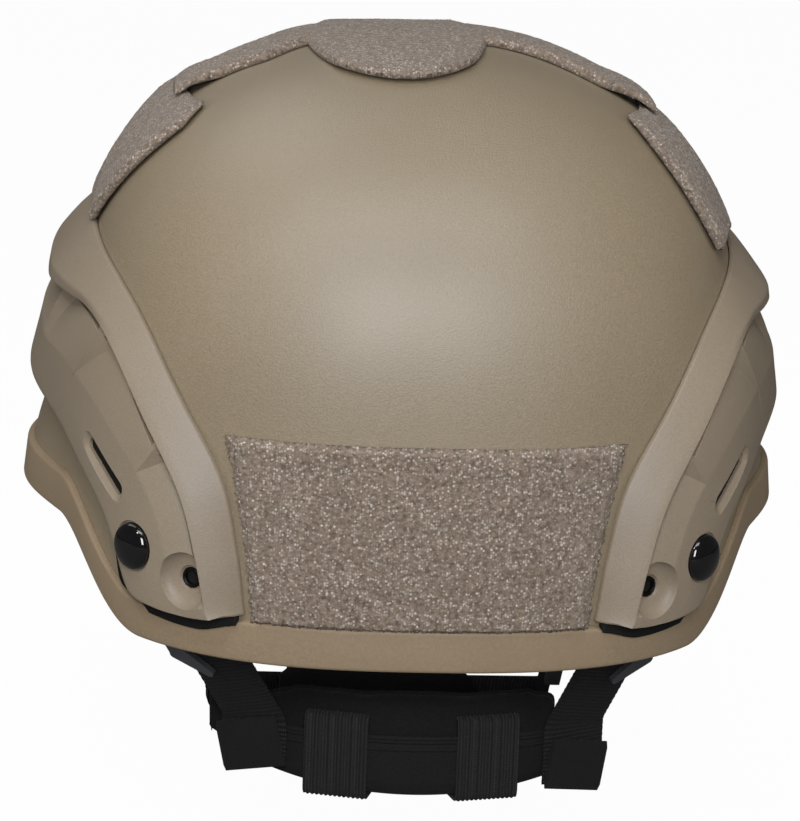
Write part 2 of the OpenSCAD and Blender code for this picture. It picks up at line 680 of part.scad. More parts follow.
module anchor(w) {
    wide = w + 1 + 2*bar;
    // A boss keeps the plate off the shell, so that the strap has room behind the bar
    translate([0, 0, -wall - anchor_gap - 0.1]) difference() {
        cylinder(h = anchor_gap - 0.5, r = nut_flange_r - 1, $fn = 40);
        translate([0, 0, -1]) cylinder(h = anchor_gap + 2, r = nut_r + 0.2, $fn = 32);
    }
    translate([0, 0, -wall - anchor_gap - anchor_t]) linear_extrude(height = anchor_t) difference() {
        union() {
            circle(nut_flange_r + 1, $fn = 40);
            translate([0, -nut_flange_r - 1]) square([anchor_slot, 2*nut_flange_r + 2]);
            translate([anchor_slot - slot_t/2 - bar, -wide/2]) square([slot_t + 2*bar, wide]);
        }
        circle(nut_r + 0.2, $fn = 32);
        translate([anchor_slot - slot_t/2, -w/2 - 0.5]) square([slot_t, w + 1]);
    }
}

module strap_anchors() {
    color("#3c3c3c") at_seat() {
        for (q = rear_web_places) fixed_at(q[0], q[1]) anchor(rear_web);
        for (q = front_web_places) fixed_at(q[0], q[1]) anchor(web_w);
    }
}

// The directions down, across and out of what fixed_at places, and a point given along them
function fixed_axes(r, z) =
    let (n = normal(r, down_to(r, z)), a = acos(n.z), c = atan2(n.y, n.x))
    [[cos(a)*cos(c), cos(a)*sin(c), -sin(a)], [-sin(c), cos(c), 0], n];
function fixed_point(r, z, v) = on(r, down_to(r, z)) + v*fixed_axes(r, z);

// The neck harness: a strap on an arc behind the neck, then forward to the jaw at each side
neck_r = 95;
neck_y = -rear_l + 131;
neck_z = -45.5;
arc_end = 37;
// The side rings, where the front, neck and chin straps of a side meet
ring_y = 2;
ring_z = -14;
ring_t = 2.6;
ring_slot = 10;
ring_bar_at = ring_slot + slot_t + bar/2;
ring_turn = wrap(ring_t);
// The chin strap leaves the rings at this angle under level
chin_fall = 42;
// The rear straps' straight run, from inside the nape edge down to the neck strap
tab_angle = 33;
tab_z = [-42.5, -48];
function neck_point(a, h) = [nape_x + (neck_r + h)*sin(a), neck_y - (neck_r + h)*cos(a)];
function rear_top(s) = [s*70.5, -rear_l + 42.5, 1];
// How far the rear straps' middle lies outside the neck strap's
lapped = web_t + 0.6;
function rear_low(s) = let (q = neck_point(s*tab_angle, lapped)) [q.x, q.y, neck_z + 12];

// A half turn round a bar at c: from the side of a, over direction b, to the side of -a
function turn(c, a, b, r) = [for (t = [0:30:180]) c + r*cos(t)*a + r*sin(t)*b];

module rear_strap(s) {
    q = [s*screw_rear[0], screw_rear[1]];
    ax = fixed_axes(q[0], q[1]);
    n = ax[2];
    up = -ax[0];
    side = ax[1];
    mid = fixed_point(q[0], q[1], [anchor_bar_x, 0, -wall - anchor_gap - anchor_t/2]);
    e = neck_point(s*tab_angle, lapped);
    across = [cos(s*tab_angle), sin(s*tab_angle), 0];
    path = concat(
        [mid + turn_r*n - 5.5*up],
        turn(mid, n, up, turn_r),
        [mid - (turn_r + 0.6)*n - 4*up, rear_top(s), rear_top(s)*0.94 + rear_low(s)*0.06],
        [rear_top(s)*0.06 + rear_low(s)*0.94, rear_low(s)],
        [[e.x, e.y, neck_z + 4], [e.x, e.y, neck_z - 9]]
    );
    k = len(path);
    web(path, [for (i = [0:k - 1]) i < 9 ? side : across], rear_web);
}

module rear_strap_left() {
    color(webbing_col) at_seat() rear_strap(-1);
}

module rear_strap_right() {
    color(webbing_col) at_seat() rear_strap(1);
}

// A direction in a side ring's plane, a degrees over forward
function in_ring(a) = [0, cos(a), sin(a)];
function ring_at(s, along, a, out = 0) = [s*jaw_x, ring_y, ring_z] + along*in_ring(a) + [s*out, 0, 0];
front_rise = 46;

module front_strap(s) {
    q = [s*screw_front[0], screw_front[1]];
    ax = fixed_axes(q[0], q[1]);
    n = ax[2];
    up = -ax[0];
    side = ax[1];
    mid = fixed_point(q[0], q[1], [anchor_bar_x, 0, -wall - anchor_gap - anchor_t/2]);
    bar_at = ring_at(s, ring_bar_at, front_rise);
    ex = [s, 0, 0];
    back = -in_ring(front_rise);
    ring_wide = cross(ex, back);
    a = [mid + turn_r*n - 5.5*up];
    b = turn(mid, n, up, turn_r);
    low = mid - (turn_r + 1)*n - 10*up;
    c = [low, low*0.72 + (bar_at + ring_turn*ex)*0.28 + [0, 0, -5]];
    d = [bar_at + ring_turn*ex - 12*back];
    f = turn(bar_at, ex, back, ring_turn);
    g = [bar_at - (ring_turn + 0.2)*ex - 12*back];
    path = concat(a, b, c, d, f, g);
    sgn = side*ring_wide < 0 ? -1 : 1;
    web(path, [for (i = [0:len(path) - 1]) i < 9 ? side : i == 9 ? side + sgn*ring_wide : sgn*ring_wide], web_w);
}

module front_strap_left() {
    color(webbing_col) at_seat() front_strap(-1);
}

module front_strap_right() {
    color(webbing_col) at_seat() front_strap(1);
}

module neck_strap() {
    ex = [1, 0, 0];
    function half(s) =
        let (b = ring_at(s, ring_bar_at, 180), v = s*ex)
        concat(
            [for (a = [0:arc_end/8:arc_end]) let (q = neck_point(s*a, 0)) [q.x, q.y, neck_z]],
            [[s*(jaw_x + 3.5), neck_y - neck_r + 38, neck_z + 1], [s*(jaw_x + 3.6), -34, neck_z + 15]],
            [b + v*ring_turn + [0, -9, 0]],
            turn(b, v, [0, 1, 0], ring_turn),
            [b - v*(ring_turn + 0.2) + [0, -12, 0]]
        );
    right = half(1);
    left = half(-1);
    path = concat([for (i = [len(left) - 1:-1:1]) left[i]], right);
    color(webbing_col) at_seat() web(path, [for (q = path) [0, 0, 1]], web_w);
}

// The rear adjusters: clips on the rear straps' outer edges, with two bars in front that meet and one behind
adjuster_l = 15;
adjuster_at = 0.3;

// Clip on a strap of width w, closed at the side s: +Y along the strap, +Z out, +X across
module adjuster(w, l, s) {
    gap = web_t/2 + web_gap;
    thick = 2;
    edge = w/2 + 0.6;
    tip = [s*0.36*edge, -l/2];
    module post(p, r) {
        translate([p.x, p.y, gap]) cylinder(h = thick, r = r, $fn = 24);
    }
    translate([s*(edge + 1.4) - 1.4, 0.05*l, -gap - thick]) cube([2.8, 0.45*l, 2*(gap + thick)]);
    hull() {
        post([s*(edge + 1.4), 0.12*l], 1.7);
        post(tip, 1.4);
    }
    hull() {
        post([s*(edge + 0.6), 0.42*l], 1.7);
        post(tip, 1.4);
    }
    translate([s > 0 ? -edge : -edge - 0.5, 0.12*l, -gap - thick]) cube([2*edge + 0.5, bar, thick]);
}

// Turns +X, +Y and +Z to the three directions given
module facing(x, y, z) {
    multmatrix([[x.x, y.x, z.x, 0], [x.y, y.y, z.y, 0], [x.z, y.z, z.z, 0], [0, 0, 0, 1]]) children();
}

module rear_adjuster(s) {
    a = rear_top(s);
    b = rear_low(s);
    y = unit(a - b);
    w0 = [cos(s*tab_angle), sin(s*tab_angle), 0];
    x = unit(w0 - (w0*y)*y);
    z = cross(x, y);
    translate(a + (b - a)*adjuster_at) facing(x, y, z) adjuster(rear_web, adjuster_l, s);
}

module rear_adjuster_left() {
    color(plastic_col) at_seat() rear_adjuster(-1);
}

module rear_adjuster_right() {
    color(plastic_col) at_seat() rear_adjuster(1);
}

// Nape pad with two elastic loops that hold it to the neck strap
nape_low = neck_z - web_w/2 + 0.4;
nape_out = -web_t/2 - 0.4;

module nape_pad() {
    nu = 17;
    nv = 9;
    half = nape_w/2/neck_r*180/PI;
    function at_h(u, v, t) =
        let (k = (1 - pow(abs(u), 6))*(1 - pow(abs(v), 6)), e = 1 - 0.75*pow(abs(u), 4),
             z = nape_low + nape_h*(1 - e/2) + v*nape_h/2*e - 3*u*u,
             h = nape_out - 0.5*nape_t + (t - 0.5)*nape_t*(0.3 + 0.7*k),
             q = neck_point(u*half, h))
        [q.x, q.y, z];
    us = [for (i = [0:nu - 1]) sin(90*(-1 + 2*i/(nu - 1)))];
    vs = [for (j = [0:nv - 1]) sin(90*(-1 + 2*j/(nv - 1)))];
    color(foam_col) at_seat()
        slab([for (u = us) [for (v = vs) at_h(u, v, 1)]], [for (u = us) [for (v = vs) at_h(u, v, 0)]]);
}

loop_angle = 15;
loop_w = 21.5;
loop_rise = nape_h - 5;
loop_elastic = 1.3;

module nape_loops() {
    out = neck_r + web_t/2 + 0.4;
    in = neck_r + nape_out - nape_t - 0.5;
    low = nape_low - 1.2;
    sweep = loop_w/neck_r*180/PI;
    color("#2a2c2f") at_seat() translate([nape_x, neck_y, 0]) for (s = [-1, 1])
        rotate([0, 0, -90 + s*loop_angle - sweep/2]) rotate_extrude(angle = sweep, $fn = 180)
            union() {
                translate([out, low - loop_elastic])
                    square([loop_elastic, loop_rise + loop_elastic]);
                translate([neck_r + nape_out + 0.3, low + loop_rise - loop_elastic])
                    square([out - neck_r - nape_out + 0.2, loop_elastic]);
                translate([in - loop_elastic, low - loop_elastic])
                    square([out - in + 1.5*loop_elastic, loop_elastic]);
                translate([in - loop_elastic, low - loop_elastic])
                    square([loop_elastic, 0.4*loop_rise]);
            }
}

// The hook-and-loop tabs at the ends of the neck strap
tab_w = 23;
tab_h = 19;
tab_t = 2;

module nape_tab(s) {
    z = tab_z[s < 0 ? 0 : 1];
    q = neck_point(s*tab_angle, lapped + web_t/2 + 0.35);
    across = [cos(s*tab_angle), sin(s*tab_angle), 0];
    out = [sin(s*tab_angle), -cos(s*tab_angle), 0];
    translate([q.x, q.y, z]) facing(across, out, [0, 0, 1])
        rotate([90, 0, 180]) linear_extrude(height = tab_t) rotate(s*4)
            square([tab_w, tab_h], center = true);
}

module nape_tab_left() {
    color("#222427") at_seat() nape_tab(-1);
}

module nape_tab_right() {
    color("#222427") at_seat() nape_tab(1);
}

// The side rings: three slotted arms round a hub, flat beside the jaw
module side_ring(s) {
    wide = web_w + 1 + 2*bar;
    long = ring_bar_at + bar/2;
    translate([s*jaw_x - ring_t/2, ring_y, ring_z]) rotate([90, 0, 90]) linear_extrude(height = ring_t)
        difference() {
            union() {
                circle(ring_slot + 1.5, $fn = 48);
                for (a = [front_rise, 180, -chin_fall]) rotate(a)
                    translate([2, -wide/2]) square([long - 2, wide]);
            }
            for (a = [front_rise, 180, -chin_fall]) rotate(a)
                translate([ring_slot, -web_w/2 - 0.5]) square([slot_t, web_w + 1]);
        }
}

module side_ring_left() {
    color(plastic_col) at_seat() side_ring(-1);
}

module side_ring_right() {
    color(plastic_col) at_seat() side_ring(1);
}

// Buckle and lock on the chin strap. Here +Y runs down the chin strap from the ring's middle,
// +Z is across the strap and +X is out from the face
module down_chin(s) {
    translate([s*jaw_x, ring_y, ring_z]) rotate([-chin_fall, 0, 0]) mirror([s < 0 ? 1 : 0, 0, 0]) children();
}

buckle_start = 23;
female_l = 29;
buckle_w = web_w + 12;
buckle_t = 9;
mouth_w = web_w + 4;
mouth_t = 5.4;
male_l = 12;
chin_travel = 14;
male_start = buckle_start + female_l + 0.4;
buckle_bar_at = buckle_start + bar/2;
male_bar_at = male_start + male_l - bar/2;

// A closed loop of webbing round two bars
module web_loop(a, b) {
    r = ring_turn;
    translate([0, 0, -web_w/2]) linear_extrude(height = web_w) difference() {
        union() {
            for (y = [a, b]) translate([0, y]) circle(r + web_t/2, $fn = 32);
            translate([-r - web_t/2, a]) square([2*r + web_t, b - a]);
        }
        for (y = [a, b]) translate([0, y]) circle(r - web_t/2, $fn = 32);
        translate([-r + web_t/2, a]) square([2*r - web_t, b - a]);
    }
}

module buckle_web() {
    color(webbing_col) at_seat() down_chin(-1) web_loop(ring_bar_at, buckle_bar_at);
}

module ladder_web() {
    color(webbing_col) at_seat() down_chin(1) web_loop(ring_bar_at, buckle_bar_at);
}

// A block from y0 to y1 with rounded ends across the strap
module rounded_block(y0, y1, wide, thick, r) {
    translate([-thick/2, 0, 0]) rotate([90, 0, 90]) linear_extrude(height = thick) union() {
        translate([y0 + r, -wide/2]) square([y1 - y0 - 2*r, wide]);
        translate([y0, -wide/2 + r]) square([y1 - y0, wide - 2*r]);
        for (y = [y0 + r, y1 - r], z = [-wide/2 + r, wide/2 - r])
            translate([y, z]) circle(r, $fn = 32);
    }
}

bar_t = ring_t;

module buckle_female() {
    end = buckle_start + female_l;
    body = buckle_start + bar + slot_t;
    color("#1c1d1f") at_seat() down_chin(-1) difference() {
        union() {
            rounded_block(body, end, buckle_w, buckle_t, 2);
            rounded_block(buckle_start, body + 4, web_w + 1 + 2*bar, bar_t, 1.2);
        }
        // Slot for the webbing, with room for it beside the bar
        translate([-buckle_t, buckle_start + bar, -web_w/2 - 0.5]) cube([2*buckle_t, slot_t, web_w + 1]);
        // Mouth for the other half
        translate([-mouth_t/2, body + 3, -mouth_w/2]) cube([mouth_t, female_l, mouth_w]);
        // Windows at both sides for the prongs' catches
        for (s = [-1, 1])
            translate([-mouth_t/2, body + 4, s*buckle_w/2 - (s > 0 ? 8 : 2)]) cube([mouth_t, 11, 10]);
    }
}

module buckle_male() {
    color("#1c1d1f") at_seat() down_chin(-1) difference() {
        union() {
            rounded_block(male_start, male_start + male_l, web_w + 1 + 2*bar, bar_t, 1.2);
            rounded_block(male_start, male_start + 5, buckle_w - 4, buckle_t - 1.6, 1.4);
            // Guide tongue that runs into the mouth
            translate([-1.4, male_start - 17, -4]) cube([2.8, 19, 8]);
        }
        translate([-buckle_t, male_start + male_l - bar - slot_t, -web_w/2 - 0.5])
            cube([2*buckle_t, slot_t, web_w + 1]);
    }
}

// The two springy prongs with their catches
module buckle_prongs() {
    root = male_start - 0.05;
    tip = male_start - 18.5;
    color("#1c1d1f") at_seat() down_chin(-1) for (s = [-1, 1])
        translate([-2.2, 0, 0]) rotate([90, 0, 90]) linear_extrude(height = 4.4)
            polygon([
                [root, s*8], [root, s*11.4], [tip + 9, s*11.4], [tip + 8.6, s*(buckle_w/2 - 0.6)],
                [tip + 2, s*(buckle_w/2 - 1.4)], [tip, s*11], [tip, s*8.4]
            ]);
}

// Lock on the right: the chin strap runs straight through it
lock_start = buckle_start + bar + slot_t + 2;
lock_l = 16;

module ladder_lock() {
    wide = web_w + 1 + 2*bar;
    thin = web_t/2 + web_gap;
    color(plastic_col) at_seat() down_chin(1) {
        difference() {
            rounded_block(buckle_start, lock_start + 1, wide, bar_t, 1);
            translate([-buckle_t, buckle_start + bar, -web_w/2 - 0.5]) cube([2*buckle_t, slot_t, web_w + 1]);
        }
        for (s = [-1, 1])
            translate([-thin - 1.5, lock_start, s*(web_w/2 + 0.6 + bar/2) - bar/2 - 0.1])
                cube([2*thin + 3, lock_l, bar + 0.2]);
        for (y = [lock_start, lock_start + lock_l - bar])
            translate([thin, y, -wide/2]) cube([1.5, bar, wide]);
        translate([-thin - 1.5, lock_start + lock_l/2 - bar/2, -wide/2]) cube([1.5, bar, wide]);
    }
}

// The chin strap, from the buckle under the chin to the lock, and the cup on it
chin_run = 92;
chin_drop = 6;

function chin_side(s, along) = ring_at(s, along, -chin_fall);
// Middle part of the chin strap: x across the face at u from -1 to 1
function chin_mid(u) =
    let (a = chin_side(1, chin_run), w = 1 - pow(abs(u), 2.4))
    [jaw_x*u, a.y + 20*w, a.z - chin_drop*w];

module chin_strap() {
    b = ring_at(-1, male_bar_at, -chin_fall);
    ex = [-1, 0, 0];
    down = in_ring(-chin_fall);
    wide = cross(ex, down);
    head = concat(
        [b - (ring_turn + 0.2)*ex + 13*down],
        turn(b, -ex, -down, ring_turn),
        [b + ring_turn*ex + 13*down, chin_side(-1, chin_run - 6)]
    );
    mid = [for (i = [-9:9]) chin_mid(i/9)];
    tail = [chin_side(1, chin_run - 6), chin_side(1, lock_start + 2.5)];
    path = concat(head, mid, tail);
    n = len(path);
    w_left = wide;
    color(webbing_col) at_seat() web(path, [for (i = [0:n - 1]) w_left], web_w);
}

module chin_cup() {
    nu = 13;
    nv = 7;
    wide = cross([-1, 0, 0], in_ring(-chin_fall));
    function at_h(u, v, t) =
        let (k = (1 - pow(abs(u), 5))*(1 - pow(abs(v), 5)), m = chin_mid(u*2/3), e = 1 - 0.35*pow(abs(u), 4),
             d = unit(chin_mid(u*2/3 + 0.01) - chin_mid(u*2/3 - 0.01)), w = unit(wide - (wide*d)*d),
             o = cross(d, w), sg = o*[0, 1, -0.5] > 0 ? -1 : 1)
        m + w*v*17*e + sg*o*(web_t/2 + 0.5 + (1 - t)*(1 - k)*1.5 + t*6*(0.35 + 0.65*k));
    us = [for (i = [0:nu - 1]) -1 + 2*i/(nu - 1)];
    vs = [for (j = [0:nv - 1]) sin(90*(-1 + 2*j/(nv - 1)))];
    color(foam_col) at_seat()
        slab([for (u = us) [for (v = vs) at_h(u, v, 1)]], [for (u = us) [for (v = vs) at_h(u, v, 0)]]);
}

shell();
edge_trim();
rail_left();
rail_right();
rail_screws();
rail_nuts();
crown_loop();
side_loop_left();
side_loop_right();
rear_loop();
front_mount();
mount_screws();
mount_nuts();
pad_crown();
pad_front();
pad_rear();
pad_temple_left();
pad_temple_right();
pad_side_left();
pad_side_right();
pad_hooks();
strap_anchors();
rear_strap_left();
rear_strap_right();
front_strap_left();
front_strap_right();
rear_adjuster_left();
rear_adjuster_right();
neck_strap();
nape_pad();
nape_loops();
nape_tab_left();
nape_tab_right();
side_ring_left();
side_ring_right();
buckle_web();
buckle_female();
buckle_male();
buckle_prongs();
ladder_web();
ladder_lock();
chin_strap();
chin_cup();
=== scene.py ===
import math
import bmesh
import bpy
import numpy as np
from mathutils import Matrix, Vector
from mathutils.bvhtree import BVHTree


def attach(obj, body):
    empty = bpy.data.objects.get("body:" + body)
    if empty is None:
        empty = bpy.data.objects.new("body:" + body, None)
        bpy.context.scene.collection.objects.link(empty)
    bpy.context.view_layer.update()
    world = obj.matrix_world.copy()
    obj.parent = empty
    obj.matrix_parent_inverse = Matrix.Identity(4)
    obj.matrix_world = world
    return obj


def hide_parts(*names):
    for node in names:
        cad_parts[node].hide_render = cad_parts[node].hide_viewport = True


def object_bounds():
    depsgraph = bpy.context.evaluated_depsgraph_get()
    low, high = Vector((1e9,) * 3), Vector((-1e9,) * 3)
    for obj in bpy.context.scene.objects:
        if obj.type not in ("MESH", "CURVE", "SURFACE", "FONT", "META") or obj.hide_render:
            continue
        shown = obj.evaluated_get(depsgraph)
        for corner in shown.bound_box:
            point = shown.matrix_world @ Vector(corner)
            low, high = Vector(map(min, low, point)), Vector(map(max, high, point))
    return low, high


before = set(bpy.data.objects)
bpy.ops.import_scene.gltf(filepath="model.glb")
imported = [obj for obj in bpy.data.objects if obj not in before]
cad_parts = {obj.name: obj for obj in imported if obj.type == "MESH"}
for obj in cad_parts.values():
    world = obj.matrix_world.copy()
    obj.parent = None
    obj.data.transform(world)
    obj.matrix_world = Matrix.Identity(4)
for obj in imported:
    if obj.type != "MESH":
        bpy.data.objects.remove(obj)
cad_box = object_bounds()

# Camera
# A long lens that looks at the back of the helmet from a little above, tipped a touch to one side.
# Heights in this file are in millimetres over the nape edge, as in the drawings; the crown pad's
# face, which is the model's origin, lies CROWN_FACE over that edge.
CROWN_FACE = 155.9
AIM_HEIGHT, EYE_AWAY = 85, 1.4
# In pixels: the picture's height, the lens, and how far the aim lies off the middle of the picture
PICTURE_HEIGHT, LENS, OFF_ACROSS, OFF_UP = 821, 4070, 5, 96.5
FILM_HEIGHT = 24


def placed(points):
    """Millimetres over the nape edge as metres from the model's origin."""
    return (np.asarray(points, float) - [0, 0, CROWN_FACE]) / 1000


turn, height, tip = math.radians(-3.9), math.radians(12), math.radians(2.2)
towards = Vector((math.sin(turn) * math.cos(height), -math.cos(turn) * math.cos(height), math.sin(height)))
eye = Vector(placed([0, 0, AIM_HEIGHT])) + EYE_AWAY * towards
across = (-towards).cross(Vector((0, 0, 1))).normalized()
upward = across.cross(-towards)
tipped_across = math.cos(tip) * across + math.sin(tip) * upward
tipped_up = math.cos(tip) * upward - math.sin(tip) * across
ahead = (-towards * LENS - tipped_across * OFF_ACROSS - tipped_up * OFF_UP).normalized()
view_across = ahead.cross(tipped_up).normalized()
view_up = view_across.cross(ahead)
camera = bpy.data.objects.new("camera", bpy.data.cameras.new("camera"))
camera.data.sensor_fit = "VERTICAL"
camera.data.sensor_height = FILM_HEIGHT
camera.data.lens = FILM_HEIGHT * LENS / PICTURE_HEIGHT
camera.matrix_world = Matrix.Translation(eye) @ Matrix((view_across, view_up, -ahead)).transposed().to_4x4()
bpy.context.scene.collection.objects.link(camera)
bpy.context.scene.camera = camera
bpy.context.scene.view_settings.view_transform = "Standard"

# Studio
# A plain white floor, a dim world and six lamps: the main one over the camera, one above it, one over
# the crown from behind, one low at each side, and a small one that glints in the screws.


def put(name, data, matrix=None):
    """A new object in the scene."""
    made = bpy.data.objects.new(name, data)
    bpy.context.scene.collection.objects.link(made)
    if matrix is not None:
        made.matrix_world = matrix
    return made


def node(tree, kind, settings=None, inputs=None):
    """A new shader node; each input is a value to set or another node's output to link."""
    made = tree.nodes.new(kind)
    for key, value in (settings or {}).items():
        setattr(made, key, value)
    for key, value in (inputs or {}).items():
        socket = made.inputs[key]
        if isinstance(value, bpy.types.NodeSocket):
            tree.links.new(value, socket)
        else:
            socket.default_value = value
    return made


def colour(red, green, blue):
    """A colour as it shows on a screen, each part from 0 to 255, as the linear one that shaders use."""
    def linear(part):
        part /= 255
        return part / 12.92 if part <= 0.04045 else ((part + 0.055) / 1.055) ** 2.4
    return (linear(red), linear(green), linear(blue), 1)


def aimed(name, turn, height, away, size, power):
    """A soft lamp turned round from the back of the helmet and raised over it, both in degrees."""
    turn, height = math.radians(turn), math.radians(height)
    level = math.cos(height)
    towards = Vector((math.sin(turn) * level, -math.cos(turn) * level, math.sin(height)))
    middle = Vector((0, 0, -0.05))
    where = towards * away + middle
    lamp = bpy.data.lights.new(name, "AREA")
    lamp.shape = "RECTANGLE"
    lamp.size, lamp.size_y = size
    lamp.energy = power
    spin = (middle - where).to_track_quat("-Z", "Y").to_matrix().to_4x4()
    return put(name, lamp, Matrix.Translation(where) @ spin)


aimed("key_lamp", -3, 21, 1.9, (0.5, 0.9), 21)
aimed("left_lamp", -75, 8, 1.7, (0.7, 0.7), 7).visible_glossy = False
aimed("upper_lamp", -4, 64, 1.7, (1.0, 0.5), 8)
aimed("crown_lamp", -140, 58, 1.5, (1.0, 1.0), 4)
aimed("right_lamp", 70, 8, 1.7, (0.7, 0.7), 5).visible_glossy = False
aimed("glint_lamp", -38, 48, 1.6, (0.1, 0.1), 2)

world = bpy.data.worlds.new("studio")
bpy.context.scene.world = world
world.use_nodes = True
tree = world.node_tree
tree.nodes.clear()
rays = node(tree, "ShaderNodeLightPath")
seen = node(tree, "ShaderNodeMath", {"operation": "MAXIMUM"},
            {0: rays.outputs["Is Camera Ray"], 1: rays.outputs["Is Transmission Ray"]})
lit = node(tree, "ShaderNodeBackground", None, {"Color": (1, 1, 1, 1), "Strength": 0.05})
white = node(tree, "ShaderNodeBackground", None, {"Color": (1, 1, 1, 1), "Strength": 1.0})
both = node(tree, "ShaderNodeMixShader", None, {0: seen.outputs[0], 1: lit.outputs[0], 2: white.outputs[0]})
node(tree, "ShaderNodeOutputWorld", None, {"Surface": both.outputs[0]})

low = cad_box[0][2]
floor_mesh = bpy.data.meshes.new("floor")
reach = 6
corners = [(-reach, -reach, low), (reach, -reach, low), (reach, reach, low), (-reach, reach, low)]
floor_mesh.from_pydata(corners, [], [(0, 1, 2, 3)])
floor = put("floor", floor_mesh)
paper = bpy.data.materials.new("studio_paper")
paper.use_nodes = True
tree = paper.node_tree
tree.nodes.clear()
rays = node(tree, "ShaderNodeLightPath")
matt = node(tree, "ShaderNodeBsdfDiffuse", None, {"Color": (0.15, 0.15, 0.15, 1)})
pale = node(tree, "ShaderNodeBsdfDiffuse", None, {"Color": (0.85, 0.85, 0.85, 1)})
glow = node(tree, "ShaderNodeEmission", None, {"Color": (1, 1, 1, 1), "Strength": 1.0})
bright = node(tree, "ShaderNodeMixShader", None, {0: 0.975, 1: pale.outputs[0], 2: glow.outputs[0]})
both = node(tree, "ShaderNodeMixShader", None,
            {0: rays.outputs["Is Camera Ray"], 1: matt.outputs[0], 2: bright.outputs[0]})
node(tree, "ShaderNodeOutputMaterial", None, {"Surface": both.outputs[0]})
floor_mesh.materials.append(paper)

# Shell
# One moulded shell under a satin coat of tan paint, which dries with a fine speckle and a slight
# orange-peel. It is 3.5 mm thick and open at the face, the ears and the nape.
HALF_WIDTH, FRONT, REAR, SHELL_HEIGHT, WALL, WAIST = 112.5, 136.0, 134.0, 180.0, 3.5, 73.0
# How square the shell is in plan, over its waist and under it, and how deep it would close below
PLAN_CURVE, DOME_CURVE, LOW_CURVE, LOW_DEPTH = 2.62, 2.42, 3.4, 178
# The swell over each ear: where it is, its spread and depth, and the heights between which it fades
EAR_AT, EAR_SPREAD, EAR_SWELL, EAR_LOW, EAR_HIGH = 94, 25, 18, 25.5, 90.5
BROW_EDGE, EAR_EDGE = 58, 27.5


def ease(x, a, b):
    """0 up to a, 1 from b on, and a smooth rise between."""
    t = np.clip((x - a) / (b - a), 0, 1)
    return t * t * (3 - 2 * t)


def bearing(r, p):
    """The direction r degrees round from the back and p degrees down from the crown."""
    r, p = np.radians(r), np.radians(p)
    return np.stack(np.broadcast_arrays(np.sin(p) * np.sin(r), -np.sin(p) * np.cos(r), np.cos(p)), -1)


def superellipse(a, b, power):
    """How far out a squared-off ellipse is, from what the direction takes of its two half axes."""
    return (a ** power + b ** power) ** (-1 / power)


def shell_reach(r, p):
    """How far out the shell is, r degrees round from the back and p degrees down from the crown."""
    side, rise = np.radians(r), np.radians(p)
    length = np.where(np.abs(r) > 90, FRONT, REAR)
    plan = superellipse(np.abs(np.sin(side) / HALF_WIDTH), np.abs(np.cos(side) / length), PLAN_CURVE)
    s, c = np.abs(np.sin(rise)), np.cos(rise)
    over = superellipse(s / plan, np.maximum(c, 0) / (SHELL_HEIGHT - WAIST), DOME_CURVE)
    under = superellipse(s / plan, np.maximum(-c, 0) / LOW_DEPTH, LOW_CURVE)
    reach = np.where(c >= 0, over, under)
    ear = np.exp(-(((np.abs(r) - EAR_AT) / EAR_SPREAD) ** 2))
    return reach + EAR_SWELL * ear * (1 - ease(WAIST + reach * c, EAR_LOW, EAR_HIGH)) * s


def unit(v):
    v = np.asarray(v, float)
    return v / np.linalg.norm(v, axis=-1, keepdims=True)


def on_shell(r, p, out=0.0):
    """The point over the shell at (r, p), out millimetres off its outside."""
    r, p = np.asarray(r, float), np.asarray(p, float)
    return bearing(r, p) * (shell_reach(r, p) + out)[..., None] + [0, 0, WAIST]


def edge_height(r):
    """The shell's lower edge: high over the brow, lower at the ears, lowest at the nape."""
    f = 180 - np.abs(r)
    return BROW_EDGE - (BROW_EDGE - EAR_EDGE) * ease(f, 38, 66) - EAR_EDGE * ease(f, 112, 138)


def down_to(r, z):
    """The angle down from the crown at which the shell is at height z."""
    r, z = np.broadcast_arrays(np.asarray(r, float), np.asarray(z, float))
    p = np.full(r.shape, 95.0)
    for _ in range(12):
        p = 90 + np.degrees(np.arctan2(WAIST - z, shell_reach(r, p) * np.sin(np.radians(p))))
    return p


def shell_axes(r, z):
    """The directions down, across and out at a place on the shell, and the place itself."""
    p, near = down_to(r, z), 0.4
    a = on_shell(r + near, p) - on_shell(r - near, p)
    b = on_shell(r, p + near) - on_shell(r, p - near)
    out = np.cross(b, a)
    out /= np.linalg.norm(out)
    lean, heading = math.acos(out[2]), math.atan2(out[1], out[0])
    down = np.array([math.cos(lean) * math.cos(heading), math.cos(lean) * math.sin(heading), -math.sin(lean)])
    return down, np.array([-math.sin(heading), math.cos(heading), 0]), out, on_shell(r, p)


def grid_faces(n, m, closed_n=False, closed_m=False, start=0):
    """The faces over n rows of m points; either way round may close on itself."""
    i = np.arange(n if closed_n else n - 1)[:, None]
    j = np.arange(m if closed_m else m - 1)[None, :]
    a, b = i * m + j, i * m + (j + 1) % m
    c, d = ((i + 1) % n) * m + (j + 1) % m, ((i + 1) % n) * m + j
    return (np.stack([a, b, c, d], -1).reshape(-1, 4) + start).tolist()


